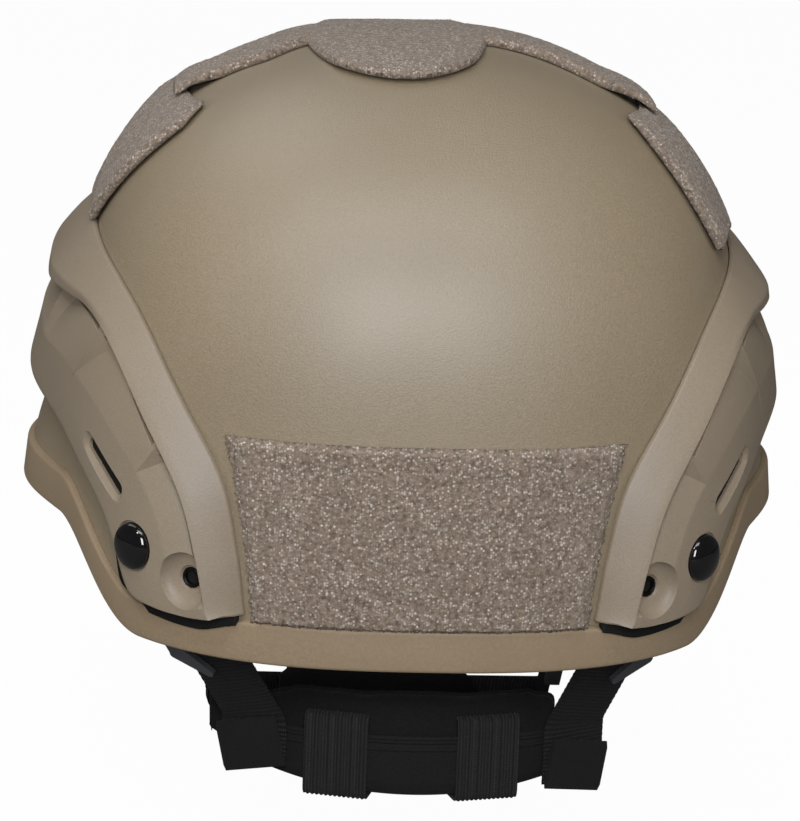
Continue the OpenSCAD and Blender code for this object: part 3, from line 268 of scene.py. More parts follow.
def make(name, points, faces, finish, body="helmet", stands_for=(), record_slot=None, uv=None, crease=None):
    """A smooth piece that moves with its body; edges sharper than crease degrees stay sharp."""
    mesh = bpy.data.meshes.new(name)
    mesh.from_pydata(placed(points).tolist(), [], faces)
    if uv is not None:
        layer = mesh.uv_layers.new(name="along")
        corners = np.zeros(len(mesh.loops), np.int64)
        mesh.loops.foreach_get("vertex_index", corners)
        layer.data.foreach_set("uv", np.asarray(uv, float)[corners].ravel())
    mesh.shade_smooth()
    soft = bmesh.new()
    soft.from_mesh(mesh)
    bmesh.ops.recalc_face_normals(soft, faces=soft.faces)
    if soft.calc_volume(signed=True) < 0:
        bmesh.ops.reverse_faces(soft, faces=soft.faces)
    soft.to_mesh(mesh)
    soft.free()
    if crease:
        mesh.set_sharp_from_angle(angle=math.radians(crease))
    mesh.materials.append(finish)
    piece = put(name, mesh)
    return settle(piece, body, stands_for)


def settle(piece, body, stands_for):
    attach(piece, body)
    if stands_for:
        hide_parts(*([stands_for] if isinstance(stands_for, str) else stands_for))
    return piece


def effect(name, inputs, outputs):
    """A new node group with the given inputs and outputs; returns it with its inner ends."""
    group = bpy.data.node_groups.new(name, "ShaderNodeTree")
    for label, kind, value in inputs:
        group.interface.new_socket(label, in_out="INPUT", socket_type=kind).default_value = value
    for label, kind in outputs:
        group.interface.new_socket(label, in_out="OUTPUT", socket_type=kind)
    return group, group.nodes.new("NodeGroupInput"), group.nodes.new("NodeGroupOutput")


# Grain that several finishes share: two sizes of noise give a mottled mask and a fine height
grain, inlet, outlet = effect(
    "moulded_grain",
    [("Size", "NodeSocketFloat", 900.0), ("Mottle", "NodeSocketFloat", 40.0)],
    [("Mask", "NodeSocketFloat"), ("Height", "NodeSocketFloat"), ("Cloud", "NodeSocketFloat")])
where = node(grain, "ShaderNodeTexCoord")
fine = node(grain, "ShaderNodeTexNoise", None,
            {"Vector": where.outputs["Object"], "Scale": inlet.outputs["Size"], "Detail": 3.0,
             "Roughness": 0.6})
cloud = node(grain, "ShaderNodeTexNoise", None,
             {"Vector": where.outputs["Object"], "Scale": inlet.outputs["Mottle"], "Detail": 4.0,
              "Roughness": 0.55})
mask = node(grain, "ShaderNodeMapRange", None,
            {"Value": fine.outputs["Fac"], "From Min": 0.35, "From Max": 0.65})
grain.links.new(mask.outputs[0], outlet.inputs["Mask"])
grain.links.new(fine.outputs["Fac"], outlet.inputs["Height"])
grain.links.new(cloud.outputs["Fac"], outlet.inputs["Cloud"])


def finish_of(name, dark, light, rough, bump, size, mottle, cloudy=0.5, settings=None):
    """A finish whose colour, gloss and relief vary with the shared grain; bump is its strength and depth."""
    made = bpy.data.materials.new(name)
    made.use_nodes = True
    tree = made.node_tree
    tree.nodes.clear()
    spots = node(tree, "ShaderNodeGroup", {"node_tree": grain}, {"Size": size, "Mottle": mottle})
    tone = node(tree, "ShaderNodeMix", {"data_type": "RGBA"},
                {"Factor": spots.outputs["Cloud"], "A": dark, "B": light})
    pale = node(tree, "ShaderNodeMix", {"data_type": "RGBA", "blend_type": "OVERLAY"},
                {"Factor": cloudy, "A": tone.outputs["Result"], "B": spots.outputs["Height"]})
    gloss = node(tree, "ShaderNodeMapRange", None,
                 {"Value": spots.outputs["Mask"], "To Min": rough[0], "To Max": rough[1]})
    relief = node(tree, "ShaderNodeBump", None,
                  {"Strength": bump[0], "Distance": bump[1], "Height": spots.outputs["Height"]})
    skin = node(tree, "ShaderNodeBsdfPrincipled", None,
                {"Base Color": pale.outputs["Result"], "Roughness": gloss.outputs[0],
                 "Normal": relief.outputs[0]})
    for key, value in (settings or {}).items():
        skin.inputs[key].default_value = value
    node(tree, "ShaderNodeOutputMaterial", None, {"Surface": skin.outputs[0]})
    return made


shell_paint = finish_of("shell_paint", colour(146, 130, 105), colour(159, 143, 118), (0.45, 0.62),
                        (0.5, 0.0005), 1500, 14, 0.3,
                        {"Coat Weight": 0.7, "Coat Roughness": 0.43, "Specular IOR Level": 0.9,
                         "Specular Tint": (0.7, 0.83, 1.0, 1.0)})

rs = np.linspace(-180, 180, 241)[:-1]
rim = down_to(rs, edge_height(rs))
OUTSIDE_ROWS, INSIDE_ROWS = 90, 60
outer = [on_shell(rs, rim * k / OUTSIDE_ROWS) for k in range(1, OUTSIDE_ROWS + 1)]
inner = [on_shell(rs, rim * k / INSIDE_ROWS, -WALL) for k in range(INSIDE_ROWS, 0, -1)]
lip = on_shell(rs, rim + 0.35, -WALL / 2)
rows = np.array(outer + [lip] + inner)
count = len(rows) * len(rs)
points = np.vstack([rows.reshape(-1, 3), on_shell(0, 0), on_shell(0, 0, -WALL)])
faces = grid_faces(len(rows), len(rs), closed_m=True)
last = (len(rows) - 1) * len(rs)
faces += [(count, i, (i + 1) % len(rs)) for i in range(len(rs))]
faces += [(count + 1, last + (i + 1) % len(rs), last + i) for i in range(len(rs))]
make("painted_shell", points, faces, shell_paint, stands_for="shell", record_slot="shell_paint")

# Edge trim
# A rubber channel pushed over the shell's edge, with a long outer leg and a short inner one. Its two
# ends meet in a butt joint at the middle of the brow.


def rounded_corners(line, radii, steps=4, closed=False):
    """The line with each corner drawn as a small curve; every corner gives steps + 1 points."""
    line = np.asarray(line, float)
    n = len(line)
    out = []
    for i in range(n):
        if not closed and i in (0, n - 1):
            out.append(line[i][None])
            continue
        back, fore = line[i - 1] - line[i], line[(i + 1) % n] - line[i]
        lb, lf = np.linalg.norm(back), np.linalg.norm(fore)
        reach = min(radii[i], 0.48 * lb, 0.48 * lf)
        a, c = line[i] + back / lb * reach, line[i] + fore / lf * reach
        t = np.linspace(0, 1, steps + 1)[:, None]
        out.append((1 - t) ** 2 * a + 2 * t * (1 - t) * line[i] + t * t * c)
    return np.vstack(out)


trim_rubber = finish_of("trim_rubber", colour(147, 128, 104), colour(161, 142, 117), (0.5, 0.66),
                        (0.3, 0.0003), 900, 22, 0.2)
# How high the outer leg stands, how thick the rubber is and how far off the shell it lies
TRIM, RUBBER, GAP = 11.0, 2.0, 0.3
DIP, DIP_AT, DIP_FORWARD, DIP_BACK = 4, 31, 13, 4.5
inside = -WALL - GAP
section = rounded_corners(
    [(-TRIM, 0.05), (-TRIM, GAP + RUBBER), (RUBBER, GAP + RUBBER), (RUBBER, inside - RUBBER),
     (-0.45 * TRIM, inside - 0.8 * RUBBER), (-0.45 * TRIM, inside), (GAP, inside), (GAP, 0.05)],
    [0.1, 1.1, 1.6, 1.6, 0.8, 0.1, 0.3, 0.3], 5, closed=True)


def trim_leg(r):
    """How high the outer leg stands: it dips under the rear end of each rail."""
    away = np.abs(r) - DIP_AT
    return TRIM - DIP * np.exp(-(away / np.where(away > 0, DIP_FORWARD, DIP_BACK)) ** 2)


rs = np.linspace(-179.93, 179.93, 641)
rim = down_to(rs, edge_height(rs))
reach = shell_reach(rs, rim)
rings = []
for past, out in section:
    along = past * trim_leg(rs) / TRIM if past < 0 else past
    rings.append(on_shell(rs, rim + np.degrees(along / reach), out))
rings = np.array(rings).transpose(1, 0, 2)
n, m = rings.shape[:2]
faces = grid_faces(n, m, closed_m=True) + [list(range(m))[::-1], [(n - 1) * m + j for j in range(m)]]
make("rubber_edge_trim", rings.reshape(-1, 3), faces, trim_rubber, stands_for="edge_trim",
     record_slot="trim_rubber", crease=60)

# Side rails
# Injection-moulded plastic rails that follow the shell, with a raised upper lip, a long channel under
# it that bridges cross, a crease along the lower body, a countersunk hole and a long hole.
# At each place from the rear end to the front end: turn and height of the upper edge, then the lower
RAIL_EDGES = np.array([
    (24, 14, 38.5, 15.6), (24.3, 18.6, 42.6, 18), (25.2, 34, 45.4, 30), (27.6, 56, 48.6, 40),
    (33.2, 76, 54, 48.5), (41.4, 98, 61, 55.5), (50, 109.5, 69, 60), (62, 116, 78, 62.5),
    (79, 119.5, 90, 63.5), (99, 120.5, 105, 65), (118, 118, 122, 71), (133, 112, 136, 76),
    (143, 102, 144, 82)])
# Where the channel starts at the same places, as a share of the rail's width
CHANNEL_AT = np.array([0.22, 0.22, 0.22, 0.22, 0.2, 0.18, 0.21, 0.31, 0.4, 0.43, 0.42, 0.4, 0.4])
# Each bridge: its crest, how long its ramp is, and how far its crest and its foot lean on their way down
BRIDGES = ((3.78, 0.27, -0.26, 0), (5.5, 0.35, 0, 0.35), (7.4, 0.4, 0, 0.05), (9.3, 0.4, -0.1, 0.25),
           (11.2, 0.4, -0.1, 0.25))
# Heights over the shell: the lip, the body and the channel's floor, and how they grow at the side
LIP, BODY, CHANNEL_FLOOR = 9.6, 9.2, 1.8
LIP_SWELL, BODY_SWELL, STEP_SWELL, STEP_FALL = 3.6, 2.2, 4, 3.4
# Where along the rail the rear end's foot meets the shell, which is a little ahead of its face
FOOT_AT = 0.395
RAIL_END = len(RAIL_EDGES) - 1


def curve(values, x):
    """The row of values at x, on a smooth curve through all rows."""
    values = np.asarray(values, float)
    n = len(values) - 1
    i = int(min(n - 1, max(0, math.floor(x))))
    t = x - i
    a, b, c, d = values[max(0, i - 1)], values[i], values[i + 1], values[min(n, i + 2)]
    square, cube = 2 * a - 5 * b + 4 * c - d, 3 * b - a - 3 * c + d
    return 0.5 * (2 * b + (c - a) * t + square * t * t + cube * t ** 3)


def swell(s):
    """How far the rail grows at the side of the head, from 0 to 1."""
    return ease(s, 5, 7.4) * (1 - ease(s, 9.8, 11.3))


def crease_at(s):
    """Where the crease runs, as a share of the rail's width."""
    return 0.44 + 0.11 * ease(s, 3.8, 5.4) + 0.09 * ease(s, 5.8, 7.2)


def past_bridge(s):
    """How far s is from a bridge to the foot of the next one's ramp, from 0 to 1, and the lean there."""
    after = min([b for b in BRIDGES if b[0] >= s] + [(20, 7, 0, 0)])
    before = max([b for b in BRIDGES if b[0] < s] + [(-1, 0, 0, 0)])
    foot = after[0] - after[1]
    if s < foot:
        share = (s - before[0]) / (foot - before[0])
        return share, after[3] * share + before[2] * (1 - share)
    share = (after[0] - s) / after[1]
    return share, after[3] * share + after[2] * (1 - share)


def rail_section(s, width):
    """The rail's section at s, from its upper edge to its lower one: (share of the width, height)."""
    m, c = float(curve(CHANNEL_AT, s)), crease_at(s)
    top = LIP + LIP_SWELL * ease(s, 6.2, 7.8) * (1 - ease(s, 9.8, 11.3))
    body = BODY + BODY_SWELL * swell(s)
    step = body - 0.6 - STEP_SWELL * swell(s) - STEP_FALL * past_bridge(s)[0]
    facet = 1.8 * ease(s, 4.8, 6.4)
    k = 0.82 + 0.18 * ease(s, 0, 0.3) * ease(RAIL_END - s, 0, 0.8)
    closed = 1 - float(ease(s, 1.08, 1.2))
    step += closed * (top - 0.05 - step)
    floor = CHANNEL_FLOOR + (step * k - 0.01 - CHANNEL_FLOOR) * closed
    if min(abs(s - a[0] + 0.03) for a in BRIDGES) < 0.09:
        floor = step * k - 0.1
    open_by = 0.038 - 0.014 * ease(s, 4, 6)
    line = [(0, 0.4), (0, 1.7), (0.5 * m, 1.9 + 0.5 * (top - 1.7) * k),
            (0.8 * m, 1.9 + 0.82 * (top - 1.7) * k), (m - 0.004, (top - facet) * k),
            (m + 0.006, floor), (m + open_by, floor),
            (m + open_by + 0.006, step * k), ((m + c) / 2, (step + body) / 2 * k), (c, body * k),
            ((1 + c) / 2, body * k), (0.94, (body - 0.6) * k), (1, (body - 4.4) * k), (0.94, 0.4)]
    radii = [0, 0.8, 3, 1, 0.5, 0.2, 0.2, 0.35, 5, 0.8, 5, 2.2, 1.0, 0]
    return rounded_corners(np.array(line) * [width, 1], radii, 5) / [width, 1]


def rail_grid(stations):
    """Rows of points over the whole rail, with a row at the foot of its undercut rear end."""
    out = []
    for s in stations:
        e = curve(RAIL_EDGES, s)
        width = np.linalg.norm(on_shell(e[0], down_to(e[0], e[1])) - on_shell(e[2], down_to(e[2], e[3])))
        sec = rail_section(s, width)
        v, h = sec[:, 0], sec[:, 1]
        m, c = float(curve(CHANNEL_AT, s)), crease_at(s)
        slant = np.clip(np.where(v < c, (v - m) / (c - m), (1 - v) / (1 - c)), 0, 1)
        undercut = max(0.0, 1 - s) * (0.45 * np.maximum(0, 1 - h / 4) * ease(v, 0.1, 0.35)
                                      + 0.4 * ease(h, 2, 7) * ease(v, 0, 0.1) * (1 - ease(v, 0.2, 0.5)))
        near = np.clip(s + undercut + past_bridge(s)[1] * slant, 0, RAIL_END)
        at = np.array([curve(RAIL_EDGES, x) for x in near])
        p0, p1 = down_to(at[:, 0], at[:, 1]), down_to(at[:, 2], at[:, 3])
        out.append(on_shell(at[:, 0] + (at[:, 2] - at[:, 0]) * v, p0 + (p1 - p0) * v, h))
        if s == 0:
            e = curve(RAIL_EDGES, FOOT_AT)
            p0, p1 = down_to(e[0], e[1]), down_to(e[2], e[3])
            low = 0.4 + 0.15 * (h - 0.4)
            out.insert(0, on_shell(e[0] + (e[2] - e[0]) * v * 0.94, p0 + (p1 - p0) * v * 0.94, low))
    return np.array(out)


def lathe(profile, matrix, steps=64):
    """A turned piece about its own +Z; profile is (radius, height) from the axis back to the axis."""
    angle = np.linspace(0, 2 * np.pi, steps, endpoint=False)
    profile = np.asarray(profile, float)
    ring = np.stack([profile[None, :, 0] * np.cos(angle)[:, None],
                     profile[None, :, 0] * np.sin(angle)[:, None],
                     np.broadcast_to(profile[None, :, 1], (steps, len(profile)))], -1)
    faces = grid_faces(steps, len(profile), closed_n=True)
    return ring.reshape(-1, 3) @ matrix[:3, :3].T + matrix[:3, 3], faces


def seat_matrix(r, z, side=1):
    """The matrix that stands a piece on the shell, mirrored for the left side."""
    matrix = np.eye(4)
    matrix[:3, :] = np.array(shell_axes(r, z)).T
    if side < 0:
        matrix[0, :] *= -1
    return matrix


def joined(pieces):
    """Several meshes as one."""
    points, faces = [], []
    for pts, fcs in pieces:
        start = sum(len(p) for p in points)
        points.append(pts)
        faces += [[v + start for v in f] for f in fcs]
    return np.vstack(points), faces


def cutter(name, points, faces):
    """A closed mesh that carve takes away from a piece."""
    mesh = bpy.data.meshes.new(name)
    mesh.from_pydata(placed(points).tolist(), [], faces)
    soft = bmesh.new()
    soft.from_mesh(mesh)
    bmesh.ops.remove_doubles(soft, verts=soft.verts, dist=1e-7)
    bmesh.ops.recalc_face_normals(soft, faces=soft.faces)
    soft.to_mesh(mesh)
    soft.free()
    return put(name, mesh)


def carve(piece, tools, crease):
    """Cut the tools out of the piece, then drop them."""
    for tool in tools:
        cut = piece.modifiers.new("cut", "BOOLEAN")
        cut.object, cut.solver = tool, "EXACT"
    seen = piece.evaluated_get(bpy.context.evaluated_depsgraph_get())
    mesh = bpy.data.meshes.new_from_object(seen)
    piece.modifiers.clear()
    piece.data = mesh
    mesh.shade_smooth()
    mesh.set_sharp_from_angle(angle=math.radians(crease))
    for tool in tools:
        bpy.data.objects.remove(tool)


def lip_side(side):
    """The space over the rail's lip, down to the channel, where the hole's dish doesn't reach."""
    rings = []
    for s in np.linspace(0.05, 4, 17):
        e, m = curve(RAIL_EDGES, s), float(curve(CHANNEL_AT, s)) + 0.036
        p0, p1 = down_to(e[0], e[1]), down_to(e[2], e[3])
        rings.append([on_shell(e[0] + (e[2] - e[0]) * v, p0 + (p1 - p0) * v, h) * [side, 1, 1]
                      for v, h in ((-0.8, -2), (m, -2), (m, 40), (-0.8, 40))])
    last = 4 * len(rings) - 4
    faces = grid_faces(len(rings), 4, closed_m=True) + [[3, 2, 1, 0], [last, last + 1, last + 2, last + 3]]
    return np.array(rings).reshape(-1, 3), faces


def slab(top, bottom):
    """A closed solid between two grids of points, with a wall round their rims."""
    n, m = top.shape[:2]
    rim = [(i, 0) for i in range(n)]
    rim += [(n - 1, j) for j in range(1, m)]
    rim += [(i, m - 1) for i in range(n - 2, -1, -1)]
    rim += [(0, j) for j in range(m - 2, 0, -1)]
    index = [i * m + j for i, j in rim]
    faces = grid_faces(n, m) + grid_faces(n, m, start=n * m)
    faces += [[a, b, n * m + b, n * m + a] for a, b in zip(index, index[1:] + index[:1])]
    return np.vstack([top.reshape(-1, 3), bottom.reshape(-1, 3)]), faces


def slot_outline(length, width, steps=12):
    """The outline of a long hole with round ends."""
    half = (length - width) / 2
    right = [(half + width / 2 * math.cos(a), width / 2 * math.sin(a))
             for a in np.linspace(-math.pi / 2, math.pi / 2, steps)]
    return np.array(right + [(-x, -y) for x, y in right])


def prism(outlines, matrix):
    """A closed solid through outlines of the same count, each (points, height)."""
    rings = np.array([np.column_stack([flat, np.full(len(flat), z)]) for flat, z in outlines])
    n, m = rings.shape[:2]
    faces = grid_faces(n, m, closed_m=True) + [list(range(m))[::-1], [(n - 1) * m + j for j in range(m)]]
    return rings.reshape(-1, 3) @ matrix[:3, :3].T + matrix[:3, 3], faces


# Places on the shell, each as its turn and height
SCREW_REAR, SCREW_FRONT = (39.5, 30.6), (138, 88)
HOLE_AT, LONG_HOLE_AT, LONG_HOLE_TILT = (31.1, 23.6), (46.2, 52.8), -57
HEAD_SEAT = BODY - 1.2
# What is cut out of a rail: (radius, height) for the round cuts, (length, width, height) for the long
SCREW_SEAT = [(0, HEAD_SEAT), (8.0, HEAD_SEAT), (8.4, HEAD_SEAT + 0.5), (9.4, HEAD_SEAT + 12),
              (0, HEAD_SEAT + 12)]
ROUND_HOLE = [(0, -1), (3.5, -1), (3.5, 10), (0, 10)]
DISH = [(0, 4.0), (3.7, 4.0), (4.2, 4.7), (6.2, 5.1), (7.8, 5.8), (8.8, 6.8), (9.6, 8.6), (13.5, 20),
        (0, 20)]
LONG_HOLE = [(24, 4.4, -2), (24, 4.4, 7.0), (25.4, 5.4, 7.5), (29, 7.4, 8.3), (31, 8.6, 9.2),
             (31, 8.6, 30)]
RAIL_CREASE = 35
rail_plastic = finish_of("rail_plastic", colour(146, 131, 112), colour(158, 144, 125), (0.42, 0.56),
                         (0.3, 0.0004), 1500, 18, 0.2,
                         {"Specular IOR Level": 0.7, "Specular Tint": (0.75, 0.86, 1.0, 1.0)})
stations = set(np.linspace(0, RAIL_END, 261).tolist())
# Rows close together at each bridge keep its faces sharp
for crest, ramp, _, _ in BRIDGES:
    stations |= {crest + d for d in (-ramp - 0.01, -ramp, -ramp + 0.01)}
    stations |= {crest + d for d in (-0.125, -0.115, -0.01, 0, 0.01, 0.055, 0.065)}
grid = rail_grid(sorted(stations))
n, m = grid.shape[:2]
tilt = np.eye(4)
turn = math.radians(LONG_HOLE_TILT)
tilt[:2, :2] = [[math.cos(turn), -math.sin(turn)], [math.sin(turn), math.cos(turn)]]
for side, name in ((1, "right"), (-1, "left")):
    faces = grid_faces(n, m) + [list(range(m))[::-1], [(n - 1) * m + j for j in range(m)]]
    faces += [[i * m, (i + 1) * m, (i + 1) * m + m - 1, i * m + m - 1] for i in range(n - 1)]
    rail = make("rail_" + name + "_moulding", grid.reshape(-1, 3) * [side, 1, 1], faces, rail_plastic,
                stands_for="rail_" + name, record_slot="rail_plastic")
    hole, long_hole = seat_matrix(*HOLE_AT, side), seat_matrix(*LONG_HOLE_AT, side) @ tilt
    tools = [cutter("screw_seat", *lathe(SCREW_SEAT, seat_matrix(*place, side)))
             for place in (SCREW_REAR, SCREW_FRONT)]
    tools.append(cutter("round_hole", *lathe(ROUND_HOLE, hole)))
    dish = cutter("dish", *lathe(DISH, hole))
    carve(dish, [cutter("lip_side", *lip_side(side))], RAIL_CREASE)
    tools.append(dish)
    tools.append(cutter("long_hole", *prism([(slot_outline(l, w), h) for l, w, h in LONG_HOLE], long_hole)))
    carve(rail, tools, RAIL_CREASE)

# Under the rails
# A black sheet between each rail's rear end and the shell, a little larger than the rail and reaching down to
# the trim, paints the shadow in the gap under the rail; its black also fills the long hole, and a dark metal
# ring in the round hole paints the shade inside it.
# The shadow sheet's top and seat heights, how far along the rail it runs, and how far its skirt reaches
# forward and down
SHADOW_SHEET_TOP, SHADOW_SHEET_SEAT, SHADOW_SHEET_END, SKIRT_FORWARD, SKIRT_DOWN = 3.2, 0.3, 2.6, 3.6, 2.4
SLOT_SHADOW_PLUG = slot_outline(23.8, 4.2)
HOLE_SHADE_RING = [(2.3, 0.6), (3.4, 0.6), (3.4, 4.3), (2.9, 4.6), (2.3, 4.2), (2.3, 0.6)]
# Near-black finish of the sheet and plug that paint the shadow under the rail and the shade in the long hole
painted_shadow_black = finish_of("painted_shadow_black", colour(8, 8, 8), colour(20, 20, 19), (0.75, 0.95), (0.6, 0.0004),
                        1800, 60, 0.3)
black_steel = finish_of("black_steel", colour(16, 16, 17), colour(30, 30, 31), (0.35, 0.55), (0.3, 0.0002),
                        1400, 50, 0.3, {"Metallic": 0.7})
rows = []
# Each row runs past the rail's lower edge down to the trim, so the black sheet paints the rail's shadow there
for s in np.linspace(-1, SHADOW_SHEET_END, 40):
    # Under 0 the rows leave the rail's end and run down to the trim
    e, v = curve(RAIL_EDGES, max(s, 0)), np.linspace(0.06, 1.0, 40)
    r = e[0] + (e[2] + 0.6 - e[0]) * v
    z = e[1] + (e[3] - e[1]) * v
    skirt = np.clip(v - 0.8, 0, 1) / 0.2 * min(1 + s, 1) * max(0, 1 - max(s, 0) / SHADOW_SHEET_END)
    r, z = r + SKIRT_FORWARD * skirt, z - SKIRT_DOWN * skirt
    z += min(s, 0) * (z - trim_leg(r) - 0.5)
    rows.append(on_shell(r, down_to(r, z)))
rows = np.array(rows)
away = unit(rows - [0, 0, WAIST])
for side, name in ((1, "right"), (-1, "left")):
    pad = slab((rows + SHADOW_SHEET_TOP * away) * [side, 1, 1], (rows + SHADOW_SHEET_SEAT * away) * [side, 1, 1])
    make("rail_shadow_sheet_" + name, *pad, painted_shadow_black, record_slot="pad_cloth")
    # A black plug in the long hole paints the shade inside it
    plug = prism([(SLOT_SHADOW_PLUG, 0.3), (SLOT_SHADOW_PLUG, 5.9)], seat_matrix(*LONG_HOLE_AT, side) @ tilt)
    make("rail_slot_shadow_plug_" + name, *plug, painted_shadow_black, record_slot="pad_cloth", crease=40)
    # A dark metal ring in the round hole paints the shade inside it
    make("rail_hole_shade_ring_" + name, *lathe(HOLE_SHADE_RING, seat_matrix(*HOLE_AT, side), 40), black_steel,
         record_slot="black_steel", crease=40)

# Rail screws
# Glossy black screws with plain domed heads that hold each rail at its rear and front end.
black_enamel = finish_of("black_enamel", colour(10, 10, 11), colour(22, 22, 24), (0.06, 0.12),
                         (0.05, 0.0002), 700, 60, 0.1, {"Coat Weight": 0.6, "Coat Roughness": 0.04})
HEAD, HEAD_RISE, SHANK = 7.8, 4.2, 2.4
dome = [(0, HEAD_SEAT + 0.05), (HEAD, HEAD_SEAT + 0.05)]
dome += [(HEAD * math.cos(a), HEAD_SEAT + 0.35 + HEAD_RISE * math.sin(a))
         for a in np.linspace(0, math.pi / 2, 18)]
shank = [(0, -7), (SHANK, -7), (SHANK, HEAD_SEAT + 0.2), (0, HEAD_SEAT + 0.2)]
parts = [lathe(profile, seat_matrix(*place, side))
         for side in (1, -1) for place in (SCREW_REAR, SCREW_FRONT) for profile in (dome, shank)]
make("domed_rail_screws", *joined(parts), black_enamel, stands_for="rail_screws",
     record_slot="black_screw", crease=50)

# Loop panels
# Hook-and-loop pile glued to the shell: one panel between the rails, a lobe with two arms over the
# crown, and one panel over each side. The pile stands up in glossy tufts and its cut edges are rough.
pile = bpy.data.materials.new("loop_pile")
pile.use_nodes = True
tree = pile.node_tree
tree.nodes.clear()
where = node(tree, "ShaderNodeTexCoord")
tufts = node(tree, "ShaderNodeTexVoronoi", {"feature": "F1"},
             {"Vector": where.outputs["Object"], "Scale": 700.0, "Randomness": 1.0})
strands = node(tree, "ShaderNodeTexVoronoi", {"feature": "F1"},
               {"Vector": where.outputs["Object"], "Scale": 1250.0, "Randomness": 1.0})
fuzz = node(tree, "ShaderNodeTexNoise", None,
            {"Vector": where.outputs["Object"], "Scale": 2300.0, "Detail": 3.0, "Roughness": 0.7})
patchy = node(tree, "ShaderNodeTexNoise", None,
              {"Vector": where.outputs["Object"], "Scale": 650.0, "Detail": 5.0, "Roughness": 0.75})
hollow = node(tree, "ShaderNodeMapRange", None,
              {"Value": tufts.outputs["Distance"], "From Min": 0.15, "From Max": 0.75, "To Min": 1.0,
               "To Max": 0.0})
lift = node(tree, "ShaderNodeMath", {"operation": "MULTIPLY_ADD"},
            {0: hollow.outputs[0], 1: 0.3, 2: fuzz.outputs["Fac"]})
spread = node(tree, "ShaderNodeMapRange", None,
              {"Value": patchy.outputs["Fac"], "From Min": 0.34, "From Max": 0.66})
# The colour is a little darker down between the tufts, which is painted shade, and varies in random patches
pit_shade_and_mottle = node(tree, "ShaderNodeMath", {"operation": "MULTIPLY_ADD"},
             {0: hollow.outputs[0], 1: 0.18, 2: spread.outputs[0]})
shade = node(tree, "ShaderNodeMix", {"data_type": "RGBA"},
             {"Factor": pit_shade_and_mottle.outputs[0], "A": colour(94, 78, 64), "B": colour(164, 146, 129)})
# Some strands, taken by lot, get a near-white colour at their tips: painted glints
lot = node(tree, "ShaderNodeSeparateColor", None, {0: strands.outputs["Color"]})
chosen = node(tree, "ShaderNodeMapRange", None,
              {"Value": lot.outputs[0], "From Min": 0.58, "From Max": 1.08})
heart = node(tree, "ShaderNodeMapRange", None,
             {"Value": strands.outputs["Distance"], "From Min": 0.7, "From Max": 0.2})
painted_glint = node(tree, "ShaderNodeMath", {"operation": "MULTIPLY"}, {0: chosen.outputs[0], 1: heart.outputs[0]})
painted_glint_tone = node(tree, "ShaderNodeMix", {"data_type": "RGBA"},
                {"Factor": painted_glint.outputs[0], "A": shade.outputs["Result"], "B": colour(246, 238, 230)})
gloss = node(tree, "ShaderNodeMapRange", None,
             {"Value": fuzz.outputs["Fac"], "From Min": 0.35, "From Max": 0.65, "To Min": 0.75,
              "To Max": 0.3})
relief = node(tree, "ShaderNodeBump", None,
              {"Strength": 1.0, "Distance": 0.0005, "Height": lift.outputs[0]})
skin = node(tree, "ShaderNodeBsdfPrincipled", None,
            {"Base Color": painted_glint_tone.outputs["Result"], "Roughness": gloss.outputs[0],
             "Normal": relief.outputs[0], "Sheen Weight": 0.2, "Sheen Roughness": 0.5})
node(tree, "ShaderNodeOutputMaterial", None, {"Surface": skin.outputs[0]})


def hashed(i, j, seed):
    """A number from 0 to 1 for each place in a grid, as if drawn at random."""
    x = np.sin(i * 127.1 + j * 311.7 + seed * 74.7) * 43758.5453
    return x - np.floor(x)


def tufted(n, m, seed):
    """Rough relief from 0 to 1 over a grid: random tufts, a little smoothed."""
    i, j = np.meshgrid(np.arange(n), np.arange(m), indexing="ij")
    raw = hashed(i, j, seed)
    smooth = raw.copy()
    smooth[1:-1, 1:-1] = (raw[1:-1, 1:-1] * 2 + raw[:-2, 1:-1] + raw[2:, 1:-1] + raw[1:-1, :-2]
                          + raw[1:-1, 2:]) / 6
    return smooth


def patch(r, p, x, y, out):
    """Points on a patch that follows the shell, x across and y up from the direction (r, p)."""
    r, p = math.radians(r), math.radians(p)
    middle = bearing(math.degrees(r), math.degrees(p)) * shell_reach(math.degrees(r), math.degrees(p))
    right = np.array([math.cos(r), math.sin(r), 0])
    up = np.array([-math.cos(p) * math.sin(r), math.cos(p) * math.cos(r), math.sin(p)])
    d = middle + np.asarray(x)[..., None] * right + np.asarray(y)[..., None] * up
    return on_shell(np.degrees(np.arctan2(d[..., 0], -d[..., 1])),
                    np.degrees(np.arctan2(np.hypot(d[..., 0], d[..., 1]), d[..., 2])), out)


# How high the pile stands, how far its backing lies off the shell, and how rough its tufts are
PILE, BACKING, TUFT = 3.2, 0.3, 0.5


def pile_panel(name, spot, n, m, seed, stands_for):
    """A panel of n by m points; spot gives the place for each u and v from -1 to 1 and each height."""
    u, v = np.meshgrid(np.linspace(-1, 1, n), np.linspace(-1, 1, m), indexing="ij")
    rough = tufted(n, m, seed)
    edge = np.maximum(np.abs(u), np.abs(v))
    thin = 1 - 0.5 * ease(edge, 0.94, 1.0)
    wob_u = (tufted(n, m, seed + 3) - 0.5) * ease(np.abs(u), 0.9, 1) * 0.03
    wob_v = (tufted(n, m, seed + 5) - 0.5) * ease(np.abs(v), 0.9, 1) * 0.05
    top = spot(u + wob_u, v + wob_v, BACKING + (PILE + TUFT * (rough - 0.5)) * thin)
    bottom = spot(u, v, np.full(u.shape, BACKING))
    piece = make(name, *slab(top, bottom), pile, stands_for=stands_for, record_slot="loop_pile")
    middle = spot(u, v, np.full(u.shape, BACKING + PILE / 2)) / 1000
    return piece


# How tall the rear panel is, how far round it reaches at its foot and how much farther at its top
REAR_TALL, REAR_TURN, REAR_SPREAD = 59, 22.9, 4.2


